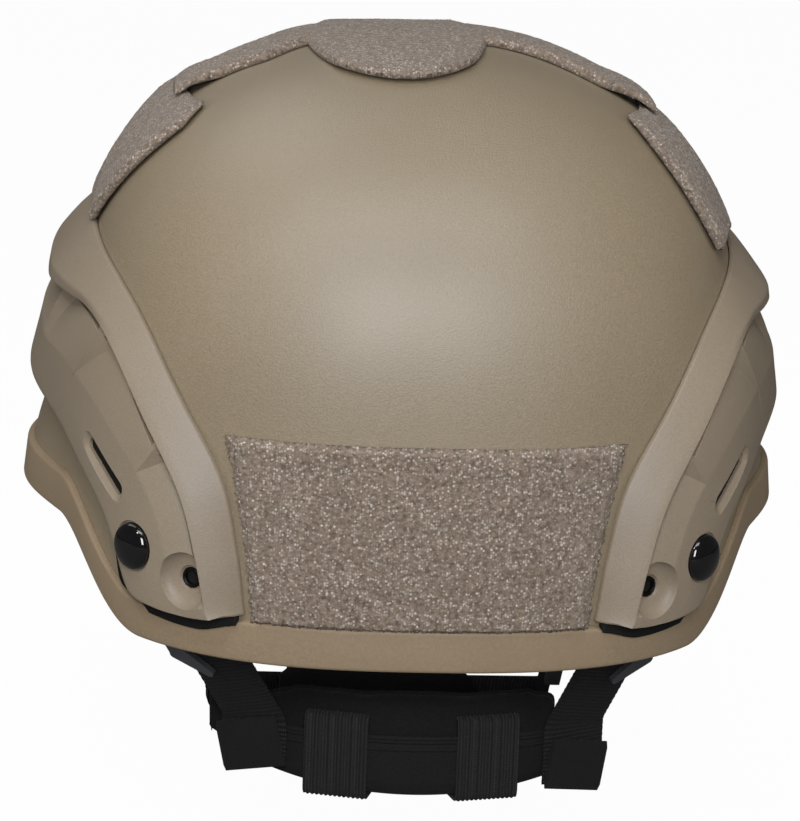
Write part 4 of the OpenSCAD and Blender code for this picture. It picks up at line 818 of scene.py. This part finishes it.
def rear_spot(u, v, out):
    share = (v + 1) / 2
    z = TRIM + 0.8 + REAR_TALL * share
    r = u * (REAR_TURN + REAR_SPREAD * np.clip(share, 0, 1) ** 1.6)
    return on_shell(r, down_to(r, z), out)


pile_panel("rear_loop_panel", rear_spot, 300, 140, 1, "rear_loop")


def squared(u, v, a, b, k):
    """The square from -1 to 1 made 2a by 2b, with its corners rounded off by k."""
    x = a * u * np.sqrt(1 - k * np.clip(v * v, 0, 1) / 2)
    y = b * v * np.sqrt(1 - k * np.clip(u * u, 0, 1) / 2)
    return x, y


# How far down the side panels lie, how tall they are and how many millimetres a degree down is there
SIDE_DOWN, SIDE_TALL, PER_DEGREE = 53.4, 50, 2.04
# Where the right one's rear end is, how long they are and how many degrees round a millimetre is there
SIDE_REAR, SIDE_LONG, TURN_EACH = 50.5, 102, 0.68


def side_spot_for(side):
    """The spot function of one side panel, which is thinner along its upper edge, under the arm."""
    def spot(u, v, out):
        x, y = squared(u, v, 1, 1, 0.4)
        p = SIDE_DOWN - y * SIDE_TALL / 2 / PER_DEGREE + 3.4 * (1 - ease(x, -1, -0.5)) * np.maximum(0, -y)
        back = SIDE_REAR + 7 + 0.9 * np.maximum(0, p - 48) if side < 0 else SIDE_REAR
        front = SIDE_REAR + SIDE_LONG * TURN_EACH
        thinned = BACKING + (out - BACKING) * (1 - 0.45 * ease(v, 0.3, 0.95))
        lifted = thinned + 1.0 * ease(u * u, 0.45, 1)
        return on_shell((back + front) / 2 + x * (front - back) / 2, p, lifted) * [side, 1, 1]

    return spot


for side, name in ((1, "right"), (-1, "left")):
    pile_panel("side_loop_panel_" + name, side_spot_for(side), 220, 100, 7 + side, "side_loop_" + name)


# The lobe lies a little left of the middle, and the arms end over the side panels' upper edges
LOBE_HALF_WIDTH, LOBE_HALF_LENGTH, LOBE_LEFT = 30, 61, 7
ARM_END, ARM_DEEP = 98, 38


def crown_lobe(u, v, out):
    x, y = squared(u, v, LOBE_HALF_WIDTH, LOBE_HALF_LENGTH, 0.9)
    return patch(0, 0, x - LOBE_LEFT, y, out + 1.2 * np.abs(v) ** 6)


def crown_arm(side):
    """The spot function of one arm, which rises at its outer end to lie over the side panel."""
    inner = 31 if side < 0 else 17

    def spot(u, v, out):
        share = (u + 1) / 2
        x = inner + (ARM_END - inner) * share
        back = -2 - 13 * ease(x, 36, 56) if side < 0 else -4 - 20 * ease(x, 25, 72)
        thinned = BACKING + (out - BACKING) * (1 - 0.35 * ease(share, 0.6, 0.95))
        lifted = thinned + (PILE - 0.5) * ease(share, 0.6, 0.9)
        return patch(0, 0, side * x, back + ARM_DEEP * (1 - 0.1 * share) * (v + 1) / 2, lifted)

    return spot


pile_panel("crown_loop_lobe", crown_lobe, 110, 210, 11, "crown_loop")
pile_panel("crown_loop_arm_right", crown_arm(1), 140, 80, 13, ())
pile_panel("crown_loop_arm_left", crown_arm(-1), 120, 80, 17, ())

# Liner pads
# Foam pads in brushed cloth with a welted seam round the side, held to the shell's inside by hook
# discs: one at the crown, the brow and the nape, and two at each side.
pad_cloth = finish_of("pad_cloth", colour(6, 6, 7), colour(18, 18, 19), (0.8, 0.95), (0.9, 0.0006),
                      1600, 60, 0.4, {"Sheen Weight": 0.06, "Sheen Roughness": 0.4})
# How deep the pads are, and where their backs lie behind the hook discs
PAD, TOP = 18.0, -WALL - 0.7 - 1.6 - 0.3
SWELL_STEPS = 20


def tube(path, radius, steps=8, closed=True):
    """A round cord along the path."""
    path = np.asarray(path, float)
    along = (np.roll(path, -1, 0) - np.roll(path, 1, 0)) if closed else np.gradient(path, axis=0)
    along /= np.linalg.norm(along, axis=1)[:, None]
    middle = path.mean(0)
    side = np.cross(along, path - middle)
    side /= np.linalg.norm(side, axis=1)[:, None]
    up = np.cross(along, side)
    angle = np.linspace(0, 2 * np.pi, steps, endpoint=False)
    ring = path[:, None] + radius * (np.cos(angle)[None, :, None] * side[:, None]
                                     + np.sin(angle)[None, :, None] * up[:, None])
    faces = grid_faces(len(path), steps, closed_n=closed, closed_m=True)
    if not closed:
        faces += [list(range(steps))[::-1], [(len(path) - 1) * steps + j for j in range(steps)]]
    return ring.reshape(-1, 3), faces


def swollen(points, faces, voxel, reach):
    """The closed form as stuffed cloth: a cloth simulation blows its skin up, by reach at most."""
    mesh = bpy.data.meshes.new("foam")
    mesh.from_pydata(placed(points).tolist(), [], faces)
    foam = put("foam", mesh)
    even = foam.modifiers.new("even", "REMESH")
    even.mode, even.voxel_size = "VOXEL", voxel / 1000
    foam.data = bpy.data.meshes.new_from_object(foam.evaluated_get(bpy.context.evaluated_depsgraph_get()))
    foam.modifiers.clear()
    count = len(foam.data.vertices)
    before, after = np.zeros(count * 3), np.zeros(count * 3)
    foam.data.vertices.foreach_get("co", before)
    skin = foam.modifiers.new("swell", "CLOTH")
    skin.settings.use_pressure = True
    skin.settings.uniform_pressure_force = 4
    skin.settings.effector_weights.gravity = 0
    skin.point_cache.frame_start, skin.point_cache.frame_end = 1, SWELL_STEPS
    for step in range(1, SWELL_STEPS + 1):
        bpy.context.scene.frame_set(step)
    blown = foam.evaluated_get(bpy.context.evaluated_depsgraph_get())
    blown.data.vertices.foreach_get("co", after)
    move = (after - before).reshape(-1, 3)
    far = np.linalg.norm(move, axis=1)
    move *= np.minimum(1, reach / 1000 / np.maximum(far, 1e-9))[:, None]
    foam.modifiers.clear()
    foam.data.vertices.foreach_set("co", (before.reshape(-1, 3) + move).ravel())
    foam.modifiers.new("smooth", "SUBSURF").levels = 1
    done = bpy.data.meshes.new_from_object(foam.evaluated_get(bpy.context.evaluated_depsgraph_get()))
    out = np.zeros(len(done.vertices) * 3)
    done.vertices.foreach_get("co", out)
    faces = [list(f.vertices) for f in done.polygons]
    bpy.data.objects.remove(foam)
    bpy.context.scene.frame_set(1)
    return out.reshape(-1, 3) * 1000 + [0, 0, CROWN_FACE], faces


def seam_on(skin, path, radius, closed=True):
    """A sewn welt along the skin's surface, as near as it comes to the path."""
    tree = BVHTree.FromPolygons(skin[0].tolist(), skin[1])
    return tube([tree.find_nearest(tuple(q))[0] for q in path], radius, closed=closed)


def round_square(count):
    """Points once round the square from -1 to 1, count on each side."""
    t, ones = np.linspace(-1, 1, count + 1)[:-1], np.ones(count)
    return np.concatenate([t, ones, -t, -ones]), np.concatenate([-ones, t, ones, -t])


def foam_pad(name, r, p, half_w, half_h, roundness, side, stands_for, n=44):
    """A welted pad inside the shell at (r, p), from a grid of n by n points."""
    line = np.sin(np.linspace(-math.pi / 2, math.pi / 2, n))
    u, v = np.meshgrid(line, line, indexing="ij")
    k = (1 - np.abs(u) ** 5) * (1 - np.abs(v) ** 5)

    def spot(u, v, t, k):
        shrink = 1 - 0.05 * t * (1 - k)
        x, y = squared(u, v, half_w - 1, half_h - 1, roundness)
        deep = 0.8 + t * (PAD - 2) * (0.45 + 0.55 * k) + (1 - t) * 2.5 * (1 - k)
        return patch(r, p, x * shrink, y * shrink, TOP - deep) * [side, 1, 1]

    pieces = [swollen(*slab(spot(u, v, 1, k), spot(u, v, 0, k)), 5, 1.1)]
    x, y = squared(*round_square(59), half_w - 0.6, half_h - 0.6, roundness)
    welt = patch(r, p, x, y, np.full(x.shape, TOP - 5.0)) * [side, 1, 1]
    pieces.append(seam_on(pieces[0], welt, 0.8))
    piece = make(name, *joined(pieces), pad_cloth, stands_for=stands_for, record_slot="pad_cloth")


foam_pad("crown_pad", 0, 0, 50, 50, 1, 1, "pad_crown", 56)
foam_pad("brow_pad", 180, float(down_to(180, 99)), 60, 27, 0.45, 1, "pad_front")
foam_pad("nape_liner_pad", 0, float(down_to(0, 47)), 56, 28, 0.45, 1, "pad_rear")
for side, name in ((1, "right"), (-1, "left")):
    foam_pad("temple_pad_" + name, 111, 68, 25, 38, 0.55, side, "pad_temple_" + name)
    foam_pad("side_pad_" + name, 66, 68, 25, 38, 0.55, side, "pad_side_" + name)

# Hook discs
# Thin stiff discs of hook tape with a sticky back, glued to the shell's inside, one for each pad. The
# pads' cloth clings to them, so the pads can be moved or taken out.


def softened(name, part, radius, finish, body, crease=32):
    """A copy of a CAD part with its sharp edges rounded off."""
    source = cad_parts[part]
    piece = put(name, source.data.copy(), source.matrix_world.copy())
    soft = bmesh.new()
    soft.from_mesh(piece.data)
    bmesh.ops.remove_doubles(soft, verts=soft.verts, dist=2e-6)
    bmesh.ops.dissolve_limit(soft, angle_limit=math.radians(0.8), verts=soft.verts, edges=soft.edges)
    edges = [e for e in soft.edges if len(e.link_faces) == 2 and e.calc_face_angle() > math.radians(crease)]
    if radius:
        bmesh.ops.bevel(soft, geom=edges, offset=radius / 1000, segments=3, profile=0.6, affect="EDGES",
                        clamp_overlap=True)
    bmesh.ops.triangulate(soft, faces=[f for f in soft.faces if len(f.verts) > 4])
    soft.to_mesh(piece.data)
    soft.free()
    piece.data.materials.clear()
    piece.data.shade_smooth()
    piece.data.set_sharp_from_angle(angle=math.radians(crease + 8))
    piece.data.materials.append(finish)
    return settle(piece, body, part)


hook_tape = finish_of("hook_tape", colour(20, 20, 22), colour(40, 40, 43), (0.5, 0.8), (1.0, 0.0008),
                      1900, 120, 0.5)
softened("hook_discs", "pad_hooks", 0, hook_tape, "helmet")

# Front mount
# A moulded plate with an open dovetail socket for a lamp or goggles, in the same plastic as the rails.
# Three small domed screws hold it to the brow.
softened("front_mount_plate", "front_mount", 0.7, rail_plastic, "helmet")
softened("mount_screw_heads", "mount_screws", 0, black_enamel, "helmet")

# Nuts and strap anchors
# Black steel nuts inside the shell for the rails' and the mount's screws. Those of the rails also
# clamp the pressed plates whose slots hold the straps.
softened("rail_nuts_inside", "rail_nuts", 0.25, black_steel, "helmet")
softened("mount_nuts_inside", "mount_nuts", 0.25, black_steel, "helmet")
softened("strap_anchor_plates", "strap_anchors", 0.3, black_steel, "helmet")

# Webbing
# Flat woven nylon straps. They run down from the anchor plates, round the neck and to the side
# rings; each is folded round its bar and stitched to itself.
THREAD = 0.0007


def webbing_finish(name, dark, light, rib, lengthwise, sheen=0.1):
    """A woven or ribbed band: ribs of the given pitch in metres, along the band or across it."""
    made = bpy.data.materials.new(name)
    made.use_nodes = True
    tree = made.node_tree
    tree.nodes.clear()
    place = node(tree, "ShaderNodeUVMap", {"uv_map": "along"})
    parts = node(tree, "ShaderNodeSeparateXYZ", None, {0: place.outputs["UV"]})
    across, fine = ("Y", "X") if lengthwise else ("X", "Y")
    rib_turns = node(tree, "ShaderNodeMath", {"operation": "MULTIPLY"},
                     {0: parts.outputs[across], 1: 2 * math.pi / rib})
    ribs = node(tree, "ShaderNodeMath", {"operation": "SINE"}, {0: rib_turns.outputs[0]})
    thread_turns = node(tree, "ShaderNodeMath", {"operation": "MULTIPLY"},
                        {0: parts.outputs[fine], 1: 2 * math.pi / THREAD})
    threads = node(tree, "ShaderNodeMath", {"operation": "SINE"}, {0: thread_turns.outputs[0]})
    spots = node(tree, "ShaderNodeGroup", {"node_tree": grain}, {"Size": 2600.0, "Mottle": 70.0})
    weave = node(tree, "ShaderNodeMath", {"operation": "MULTIPLY_ADD"},
                 {0: threads.outputs[0], 1: 0.35, 2: ribs.outputs[0]})
    lift = node(tree, "ShaderNodeMath", {"operation": "ADD"},
                {0: weave.outputs[0], 1: spots.outputs["Height"]})
    # Rib crests are painted lighter and the grooves between them darker: painted light and shade
    rib_light_shade = node(tree, "ShaderNodeMapRange", None,
                 {"Value": weave.outputs[0], "From Min": -1.2, "From Max": 1.3})
    tone = node(tree, "ShaderNodeMix", {"data_type": "RGBA"},
                {"Factor": rib_light_shade.outputs[0], "A": dark, "B": light})
    worn = node(tree, "ShaderNodeMix", {"data_type": "RGBA", "blend_type": "OVERLAY"},
                {"Factor": 0.35, "A": tone.outputs["Result"], "B": spots.outputs["Cloud"]})
    gloss = node(tree, "ShaderNodeMapRange", None,
                 {"Value": spots.outputs["Mask"], "To Min": 0.62, "To Max": 0.85})
    relief = node(tree, "ShaderNodeBump", None,
                  {"Strength": 0.7, "Distance": 0.00022, "Height": lift.outputs[0]})
    skin = node(tree, "ShaderNodeBsdfPrincipled", None,
                {"Base Color": worn.outputs["Result"], "Roughness": gloss.outputs[0],
                "Normal": relief.outputs[0], "Sheen Weight": sheen, "Sheen Roughness": 0.5})
    node(tree, "ShaderNodeOutputMaterial", None, {"Surface": skin.outputs[0]})
    return made


nylon = webbing_finish("nylon_webbing", colour(5, 5, 6), colour(24, 24, 25), 0.0014, False, 0.03)
neck_cloth = finish_of("neck_cloth", colour(5, 5, 6), colour(17, 17, 18), (0.7, 0.9), (0.7, 0.0004),
                       2200, 60, 0.4)


def eased_path(path, across, step=0.8, soft=1.6):
    """The path and its across directions at small even steps, with its corners eased."""
    path, across = np.asarray(path, float), unit(across)
    gone = np.concatenate([[0], np.cumsum(np.linalg.norm(np.diff(path, axis=0), axis=1))])
    n = max(8, int(gone[-1] / step))
    at = np.linspace(0, gone[-1], n)
    pts = np.stack([np.interp(at, gone, path[:, k]) for k in range(3)], -1)
    wide = np.stack([np.interp(at, gone, across[:, k]) for k in range(3)], -1)
    reach = int(3 * soft / step)
    kernel = np.exp(-0.5 * (np.arange(-reach, reach + 1) * step / soft) ** 2)
    kernel /= kernel.sum()

    def smooth(a):
        ends = np.concatenate([2 * a[:1] - a[1:reach + 1][::-1], a, 2 * a[-1:] - a[-reach - 1:-1][::-1]])
        return np.stack([np.convolve(ends[:, k], kernel, "valid") for k in range(a.shape[1])], -1)

    return smooth(pts), smooth(wide), at


# How thick the webbing is, and how high the elastic's columns stand
WEB, COLUMN = 1.6, 0.42


def band(path, across, width, thick=WEB, ribs=0.0, pitch=1.0, columns=0):
    """A band with rounded edges; ribs lifts it in waves along its length, columns in waves across it."""
    pts, wide, at = eased_path(path, across)
    ahead = unit(np.gradient(pts, axis=0))
    wide = unit(wide - (wide * ahead).sum(1)[:, None] * ahead)
    out = np.cross(ahead, wide)
    n_across = max(9, columns * 8 + 1)
    t = np.linspace(-1, 1, n_across)
    past = (np.abs(t) * width / 2 - (width / 2 - thick / 2)) / (thick / 2)
    edge = np.sqrt(np.clip(1 - np.clip(past, 0, 1) ** 2, 0, 1))
    col = 0.5 * COLUMN * np.cos(t * math.pi * columns) * edge if columns else 0 * t
    half = thick / 2 * np.maximum(edge, 0.12)
    top = np.stack([t * width / 2, half + col], -1)
    low = np.stack([t[::-1] * width / 2, -half - col[::-1]], -1)
    section = np.vstack([top, low])
    wave = ribs * np.sin(at * 2 * math.pi / pitch)
    high = section[None, :, 1:]
    high = high + np.sign(high) * wave[:, None, None] * 0.5
    grid = pts[:, None] + section[None, :, :1] * wide[:, None] + high * out[:, None]
    n, m = grid.shape[:2]
    uv = np.stack(np.broadcast_arrays(at[:, None] / 1000, section[None, :, 0] / 1000), -1)
    faces = grid_faces(n, m, closed_m=True) + [list(range(m))[::-1], [(n - 1) * m + j for j in range(m)]]
    return grid.reshape(-1, 3), faces, uv.reshape(-1, 2)


def joined_uv(parts):
    """Several bands as one, with their marks."""
    points, faces, uv, count = [], [], [], 0
    for pts, fcs, marks in parts:
        faces += [[v + count for v in f] for f in fcs]
        count += len(pts)
        points.append(pts)
        uv.append(marks)
    return np.vstack(points), faces, np.vstack(uv)


# The rings beside the jaw, and the arc that the neck strap follows
JAW, RING_AT, NECK, NECK_MID, NECK_HEIGHT = 60, (2, -14), 95, (2.5, -3), -45.5
# The webbing's widths, and the slots and bars that it is folded round
REAR_WIDE, WIDE = 25, 20
SLOT, BAR, RING_THICK, PLATE = 3.8, 3.0, 2.6, 1.5
RING_BAR, BAR_AT, PLATE_UNDER = 10 + SLOT + BAR / 2, 16.4, 4.9
REAR_TOP = (70.5, -91.5, 1)
# How the front straps rise from the rings and the chin strap falls, and where the tabs are
RISE, FALL, TAB_ANGLE, LAP = 46, 42, 33, WEB + 0.6


def wrap(thick):
    """How far the middle of the webbing lies from the middle of a bar that it is folded round."""
    return math.hypot(BAR, thick) / 2 + 0.25 + WEB / 2


def turn_round(middle, a, b, radius):
    """Half a turn round the middle, from the direction a over b to the far side."""
    return [middle + radius * math.cos(math.radians(t)) * a + radius * math.sin(math.radians(t)) * b
            for t in range(0, 181, 15)]


def neck_point(angle, out):
    """A place on the neck strap's arc, angle degrees round from the back, out millimetres off it."""
    a = math.radians(angle)
    return np.array([NECK_MID[0] + (NECK + out) * math.sin(a), NECK_MID[1] - (NECK + out) * math.cos(a)])


def level_at(angle):
    """The level direction along the neck strap."""
    return np.array([math.cos(math.radians(angle)), math.sin(math.radians(angle)), 0])


def in_ring(angle):
    """A direction in the rings' plane, angle degrees up from straight ahead."""
    return np.array([0, math.cos(math.radians(angle)), math.sin(math.radians(angle))])


def ring_point(side, along, angle):
    """The place that lies along millimetres from a ring's middle in that direction."""
    return np.array([side * JAW, *RING_AT]) + along * in_ring(angle)


def anchor_bar(side, place):
    """The directions at the anchor behind a screw, and the middle of the anchor's bar."""
    down, along, out, spot = shell_axes(side * place[0], place[1])
    return down, along, out, spot + BAR_AT * down - (WALL + PLATE_UNDER + PLATE / 2) * out


def round_anchor(middle, out, down):
    """The start of a strap: its short end outside, then round the anchor's bar."""
    turn = wrap(PLATE)
    return [middle + turn * out + 5.5 * down] + turn_round(middle, out, -down, turn)


for side, name in ((1, "right"), (-1, "left")):
    # Rear strap: from its anchor, straight down outside the neck strap
    down, along, out, middle = anchor_bar(side, SCREW_REAR)
    turn = wrap(PLATE)
    foot = neck_point(side * TAB_ANGLE, LAP)
    path = round_anchor(middle, out, down) + [middle - (turn + 0.6) * out + 4 * down]
    count = len(path)
    path += [np.array(REAR_TOP) * [side, 1, 1], [*foot, NECK_HEIGHT + 12], [*foot, NECK_HEIGHT + 4],
             [*foot, NECK_HEIGHT - (3 if side < 0 else 8)]]
    ways = [along] * count + [level_at(side * TAB_ANGLE)] * 4
    pts, fcs, uv = band(path, ways, REAR_WIDE, ribs=0.22, pitch=2.1)
    make("rear_webbing_" + name, pts, fcs, nylon, "helmet", "rear_strap_" + name, "webbing", uv, 50)
    # Front strap: from its anchor to the side ring
    down, along, out, middle = anchor_bar(side, SCREW_FRONT)
    bar_at, outward, back = ring_point(side, RING_BAR, RISE), np.array([side, 0, 0]), -in_ring(RISE)
    ring_turn = wrap(RING_THICK)
    ring_wide = np.cross(outward, back)
    low_at = middle - (turn + 1) * out + 10 * down
    path = round_anchor(middle, out, down) + [low_at]
    count = len(path)
    path += [low_at * 0.72 + (bar_at + ring_turn * outward) * 0.28 + [0, 0, -5]]
    path += [bar_at + ring_turn * outward - 12 * back] + turn_round(bar_at, outward, back, ring_turn)
    path += [bar_at - (ring_turn + 0.2) * outward - 12 * back]
    sign = -1 if along @ ring_wide < 0 else 1
    ways = [along] * count + [along + sign * ring_wide] + [sign * ring_wide] * (len(path) - count - 1)
    pts, fcs, uv = band(path, ways, WIDE)
    make("front_webbing_" + name, pts, fcs, nylon, "helmet", "front_strap_" + name, "webbing", uv, 50)

# Neck strap: an arc behind the neck, then forward to the rings


def neck_half(side):
    """The neck strap's path from the middle of the nape to one ring, folded round the ring's bar."""
    bar_at, outward, ring_turn = ring_point(side, RING_BAR, 180), np.array([side, 0, 0]), wrap(RING_THICK)
    path = [[*neck_point(side * a, 0), NECK_HEIGHT] for a in np.linspace(0, 37, 17)]
    path += [[side * (JAW + 3.5), NECK_MID[1] - NECK + 38, NECK_HEIGHT + 1],
             [side * (JAW + 3.6), -34, NECK_HEIGHT + 15]]
    path += [bar_at + outward * ring_turn + [0, -9, 0]]
    path += turn_round(bar_at, outward, np.array([0, 1, 0]), ring_turn)
    path += [bar_at - outward * (ring_turn + 0.2) + [0, -12, 0]]
    return [np.asarray(q, float) for q in path]


path = neck_half(-1)[:0:-1] + neck_half(1)
pts, fcs, uv = band(path, [[0, 0, 1]] * len(path), WIDE)
turned = np.degrees(np.arctan2(pts[:, 0] - NECK_MID[0], NECK_MID[1] - pts[:, 1]))
# Its lower edge rises from the middle towards the tabs
low_rise = 6 * np.minimum(1.3, np.abs(turned / TAB_ANGLE)) ** 2
pts[:, 2] += low_rise * np.clip((NECK_HEIGHT - pts[:, 2]) / 10, 0, 1) * (pts[:, 1] < -50)
parts = [(pts, fcs, uv)]
# Two piped seams along its upper edge
for high, thick in ((8.2, 0.75), (5.6, 0.7)):
    seam = [[*neck_point(a, WEB / 2 - 0.35), NECK_HEIGHT + high] for a in np.linspace(-31, 31, 80)]
    pts, fcs = tube(seam, thick, closed=False)
    parts.append((pts, fcs, pts[:, :2] / 1000))
pts, fcs, uv = joined_uv(parts)
make("neck_webbing", pts, fcs, neck_cloth, "helmet", "neck_strap", "webbing", uv, 50)

# Chin strap: loops at both rings, and the strap under the chin from the buckle to the lock


def down_chin(side):
    """Along the chin strap, across it and out from the face."""
    return in_ring(-FALL), np.cross(in_ring(-FALL), [side, 0, 0]), np.array([side, 0, 0])


for side, name, part in ((-1, "left", "buckle_web"), (1, "right", "ladder_web")):
    along, wide, out = down_chin(side)
    r = wrap(RING_THICK)
    path = turn_round(ring_point(side, RING_BAR, -FALL), -out, -along, r)
    path += turn_round(ring_point(side, 24.5, -FALL), out, along, r)
    path += path[:1]
    pts, fcs, uv = band(path, [wide] * len(path), WIDE)
    make("ring_webbing_" + name, pts, fcs, nylon, "helmet", part, "webbing", uv, 50)


def chin_mid(u):
    """The middle of the chin strap under the chin, u from -1 at the left ring to 1 at the right."""
    a, w = ring_point(1, 92, -FALL), 1 - abs(u) ** 2.4
    return np.array([JAW * u, a[1] + 20 * w, a[2] - 6 * w])


along, wide, out = down_chin(-1)
r, bar_at = wrap(RING_THICK), ring_point(-1, 62.9, -FALL)
path = [bar_at - (r + 0.2) * out + 13 * along] + turn_round(bar_at, -out, -along, r)
path += [bar_at + r * out + 13 * along, ring_point(-1, 86, -FALL)]
path += [chin_mid(i / 18) for i in range(-18, 19)] + [ring_point(1, 86, -FALL), ring_point(1, 34.3, -FALL)]
pts, fcs, uv = band(path, [wide] * len(path), WIDE)
make("chin_webbing", pts, fcs, nylon, "chin", "chin_strap", "webbing", uv, 50)

# Rings, buckle and lock
# Moulded fittings: grey slotted rings beside the jaw, a black side-release buckle on the left, a
# grey lock on the right and a grey clip on each rear strap.
grey_plastic = finish_of("grey_plastic", colour(58, 59, 61), colour(90, 91, 94), (0.35, 0.55),
                         (0.25, 0.0003), 1300, 35, 0.3)
black_plastic = finish_of("black_plastic", colour(18, 18, 20), colour(34, 34, 36), (0.3, 0.5),
                          (0.25, 0.0003), 1300, 35, 0.3)
for name in ("left", "right"):
    softened("strap_clip_" + name, "rear_adjuster_" + name, 0.35, grey_plastic, "adjuster_" + name)
    softened("jaw_ring_" + name, "side_ring_" + name, 0.5, grey_plastic, "helmet")
softened("buckle_socket", "buckle_female", 0.5, black_plastic, "helmet")
softened("buckle_plug", "buckle_male", 0.4, black_plastic, "chin")
softened("buckle_springs", "buckle_prongs", 0.3, black_plastic, "chin")
softened("strap_lock", "ladder_lock", 0.35, grey_plastic, "helmet")

# Nape pad
# Foam wrapped in black brushed cloth, welted round its edge, on two ribbed elastic loops that hang
# it from the neck strap, between two hook-and-loop tabs.
NAPE_LOW, NAPE_HIGH, NAPE_LONG, NAPE_THICK, NAPE_OUT = NECK_HEIGHT - 10 + 0.4, 33, 110, 14, -1.2
NAPE_HALF_ANGLE = math.degrees(NAPE_LONG / 2 / NECK)
LOOP_RISE, LOOP_WIDE, ELASTIC = NAPE_HIGH - 5, 21.5, 1.3


def neck_grid(angle, out, z):
    """Places round the neck strap's arc, for whole grids of angles."""
    a = np.radians(angle)
    x, y = NECK_MID[0] + (NECK + out) * np.sin(a), NECK_MID[1] - (NECK + out) * np.cos(a)
    return np.stack(np.broadcast_arrays(x, y, z), -1)


def nape_face(u, v, t):
    """The pad's surface at u along and v up, from its back at t = 0 to its face at t = 1."""
    k = (1 - np.abs(u) ** 6) * (1 - np.abs(v) ** 6)
    tall = 1 - 0.75 * np.abs(u) ** 4
    z = NAPE_LOW + NAPE_HIGH * (1 - tall / 2) + v * NAPE_HIGH / 2 * tall - 3 * u * u
    crown = (t - 0.5) * NAPE_THICK * (0.3 + 0.7 * k)
    return neck_grid(u * NAPE_HALF_ANGLE, NAPE_OUT - 0.5 * NAPE_THICK + crown, z)


line_u = np.sin(np.linspace(-math.pi / 2, math.pi / 2, 90))
line_v = np.sin(np.linspace(-math.pi / 2, math.pi / 2, 48))
u, v = np.meshgrid(line_u, line_v, indexing="ij")
pieces = [swollen(*slab(nape_face(u, v, 0.94), nape_face(u, v, 0.06)), 4, 0.9)]
rim_u, rim_v = round_square(89)
pieces.append(seam_on(pieces[0], nape_face(rim_u * 0.985, rim_v * 0.97, 0.5), 0.9))
nape = make("nape_pad_cushion", *joined(pieces), pad_cloth, "nape", "nape_pad", "pad_cloth")

elastic = webbing_finish("ribbed_elastic", colour(8, 8, 9), colour(40, 40, 41), 0.0011, True, 0.05)
parts = []
for side in (-1, 1):
    mid_angle, low_z = side * 15 - 0.8, NAPE_LOW - 1.2
    face_out, back_in = WEB / 2 + 0.4 + ELASTIC / 2, NAPE_OUT - NAPE_THICK - 0.5 - ELASTIC / 2
    high_z = low_z + LOOP_RISE - ELASTIC / 2
    stops = [(NAPE_OUT + 1.0, high_z), (face_out, high_z), (face_out, low_z - ELASTIC / 2),
             (back_in, low_z - ELASTIC / 2), (back_in, low_z + 0.4 * LOOP_RISE - ELASTIC)]
    path = [neck_grid(mid_angle, o, z) for o, z in stops]
    parts.append(band(path, [level_at(mid_angle)] * len(path), LOOP_WIDE, thick=ELASTIC, columns=14))
pts, fcs, uv = joined_uv(parts)
make("elastic_nape_loops", pts, fcs, elastic, "nape", "nape_loops", "elastic", uv, 60)

tab_cloth = finish_of("tab_cloth", colour(7, 7, 8), colour(18, 18, 19), (0.75, 0.9), (0.8, 0.0005),
                      2000, 80, 0.4, {"Sheen Weight": 0.04})
TAB_HALF_LENGTH, TAB_WIDTH, TAB_THICK = 11.5, 17, 1.9
# Each tab: its height and how far it is turned
for side, name, z, turned in ((-1, "left", -42.5, 15), (1, "right", -48.0, -11)):
    middle = np.array([*neck_point(side * TAB_ANGLE, LAP + WEB / 2 + 0.35 + 1.0), z])
    level, up = level_at(side * TAB_ANGLE), np.array([0, 0, 1])
    a = math.radians(turned)
    along, upright = math.cos(a) * level + math.sin(a) * up, math.cos(a) * up - math.sin(a) * level
    path = [middle - TAB_HALF_LENGTH * along, middle, middle + TAB_HALF_LENGTH * along]
    pts, fcs, uv = band(path, [upright] * 3, TAB_WIDTH, thick=TAB_THICK)
    make("neck_tab_" + name, pts, fcs, tab_cloth, "tab_" + name, "nape_tab_" + name, "hook_tape", uv, 60)

# Chin cup
# A soft cup of foam in the same cloth as the pads, shaped along the chin strap and worn in front of
# the chin.
CUP_HALF_WIDTH, CUP_DEEP = 17, 6
along, wide, out = down_chin(-1)


def chin_face(u, v, t):
    """The cup's surface, from the strap at t = 0 to its face at t = 1."""
    rows = []
    for a in u[:, 0]:
        middle = chin_mid(a * 2 / 3)
        d = unit(chin_mid(a * 2 / 3 + 0.01) - chin_mid(a * 2 / 3 - 0.01))
        w = unit(wide - (wide @ d) * d)
        o = np.cross(d, w)
        if o @ [0, 1, -0.5] > 0:
            o = -o
        b = v[0]
        k = (1 - abs(a) ** 5) * (1 - np.abs(b) ** 5)
        high = WEB / 2 + 0.5 + (1 - t) * (1 - k) * 1.5 + t * CUP_DEEP * (0.35 + 0.65 * k)
        rows.append(middle + w * (b * CUP_HALF_WIDTH * (1 - 0.35 * abs(a) ** 4))[:, None] + o * high[:, None])
    return np.array(rows)


line_u, line_v = np.linspace(-1, 1, 70), np.sin(np.linspace(-math.pi / 2, math.pi / 2, 36))
u, v = np.meshgrid(line_u, line_v, indexing="ij")
stuffed = swollen(*slab(chin_face(u, v, 0.95), chin_face(u, v, 0)), 4, 0.3)
cup = make("chin_cup_pad", *stuffed, pad_cloth, "chin", "chin_cup", "pad_cloth")
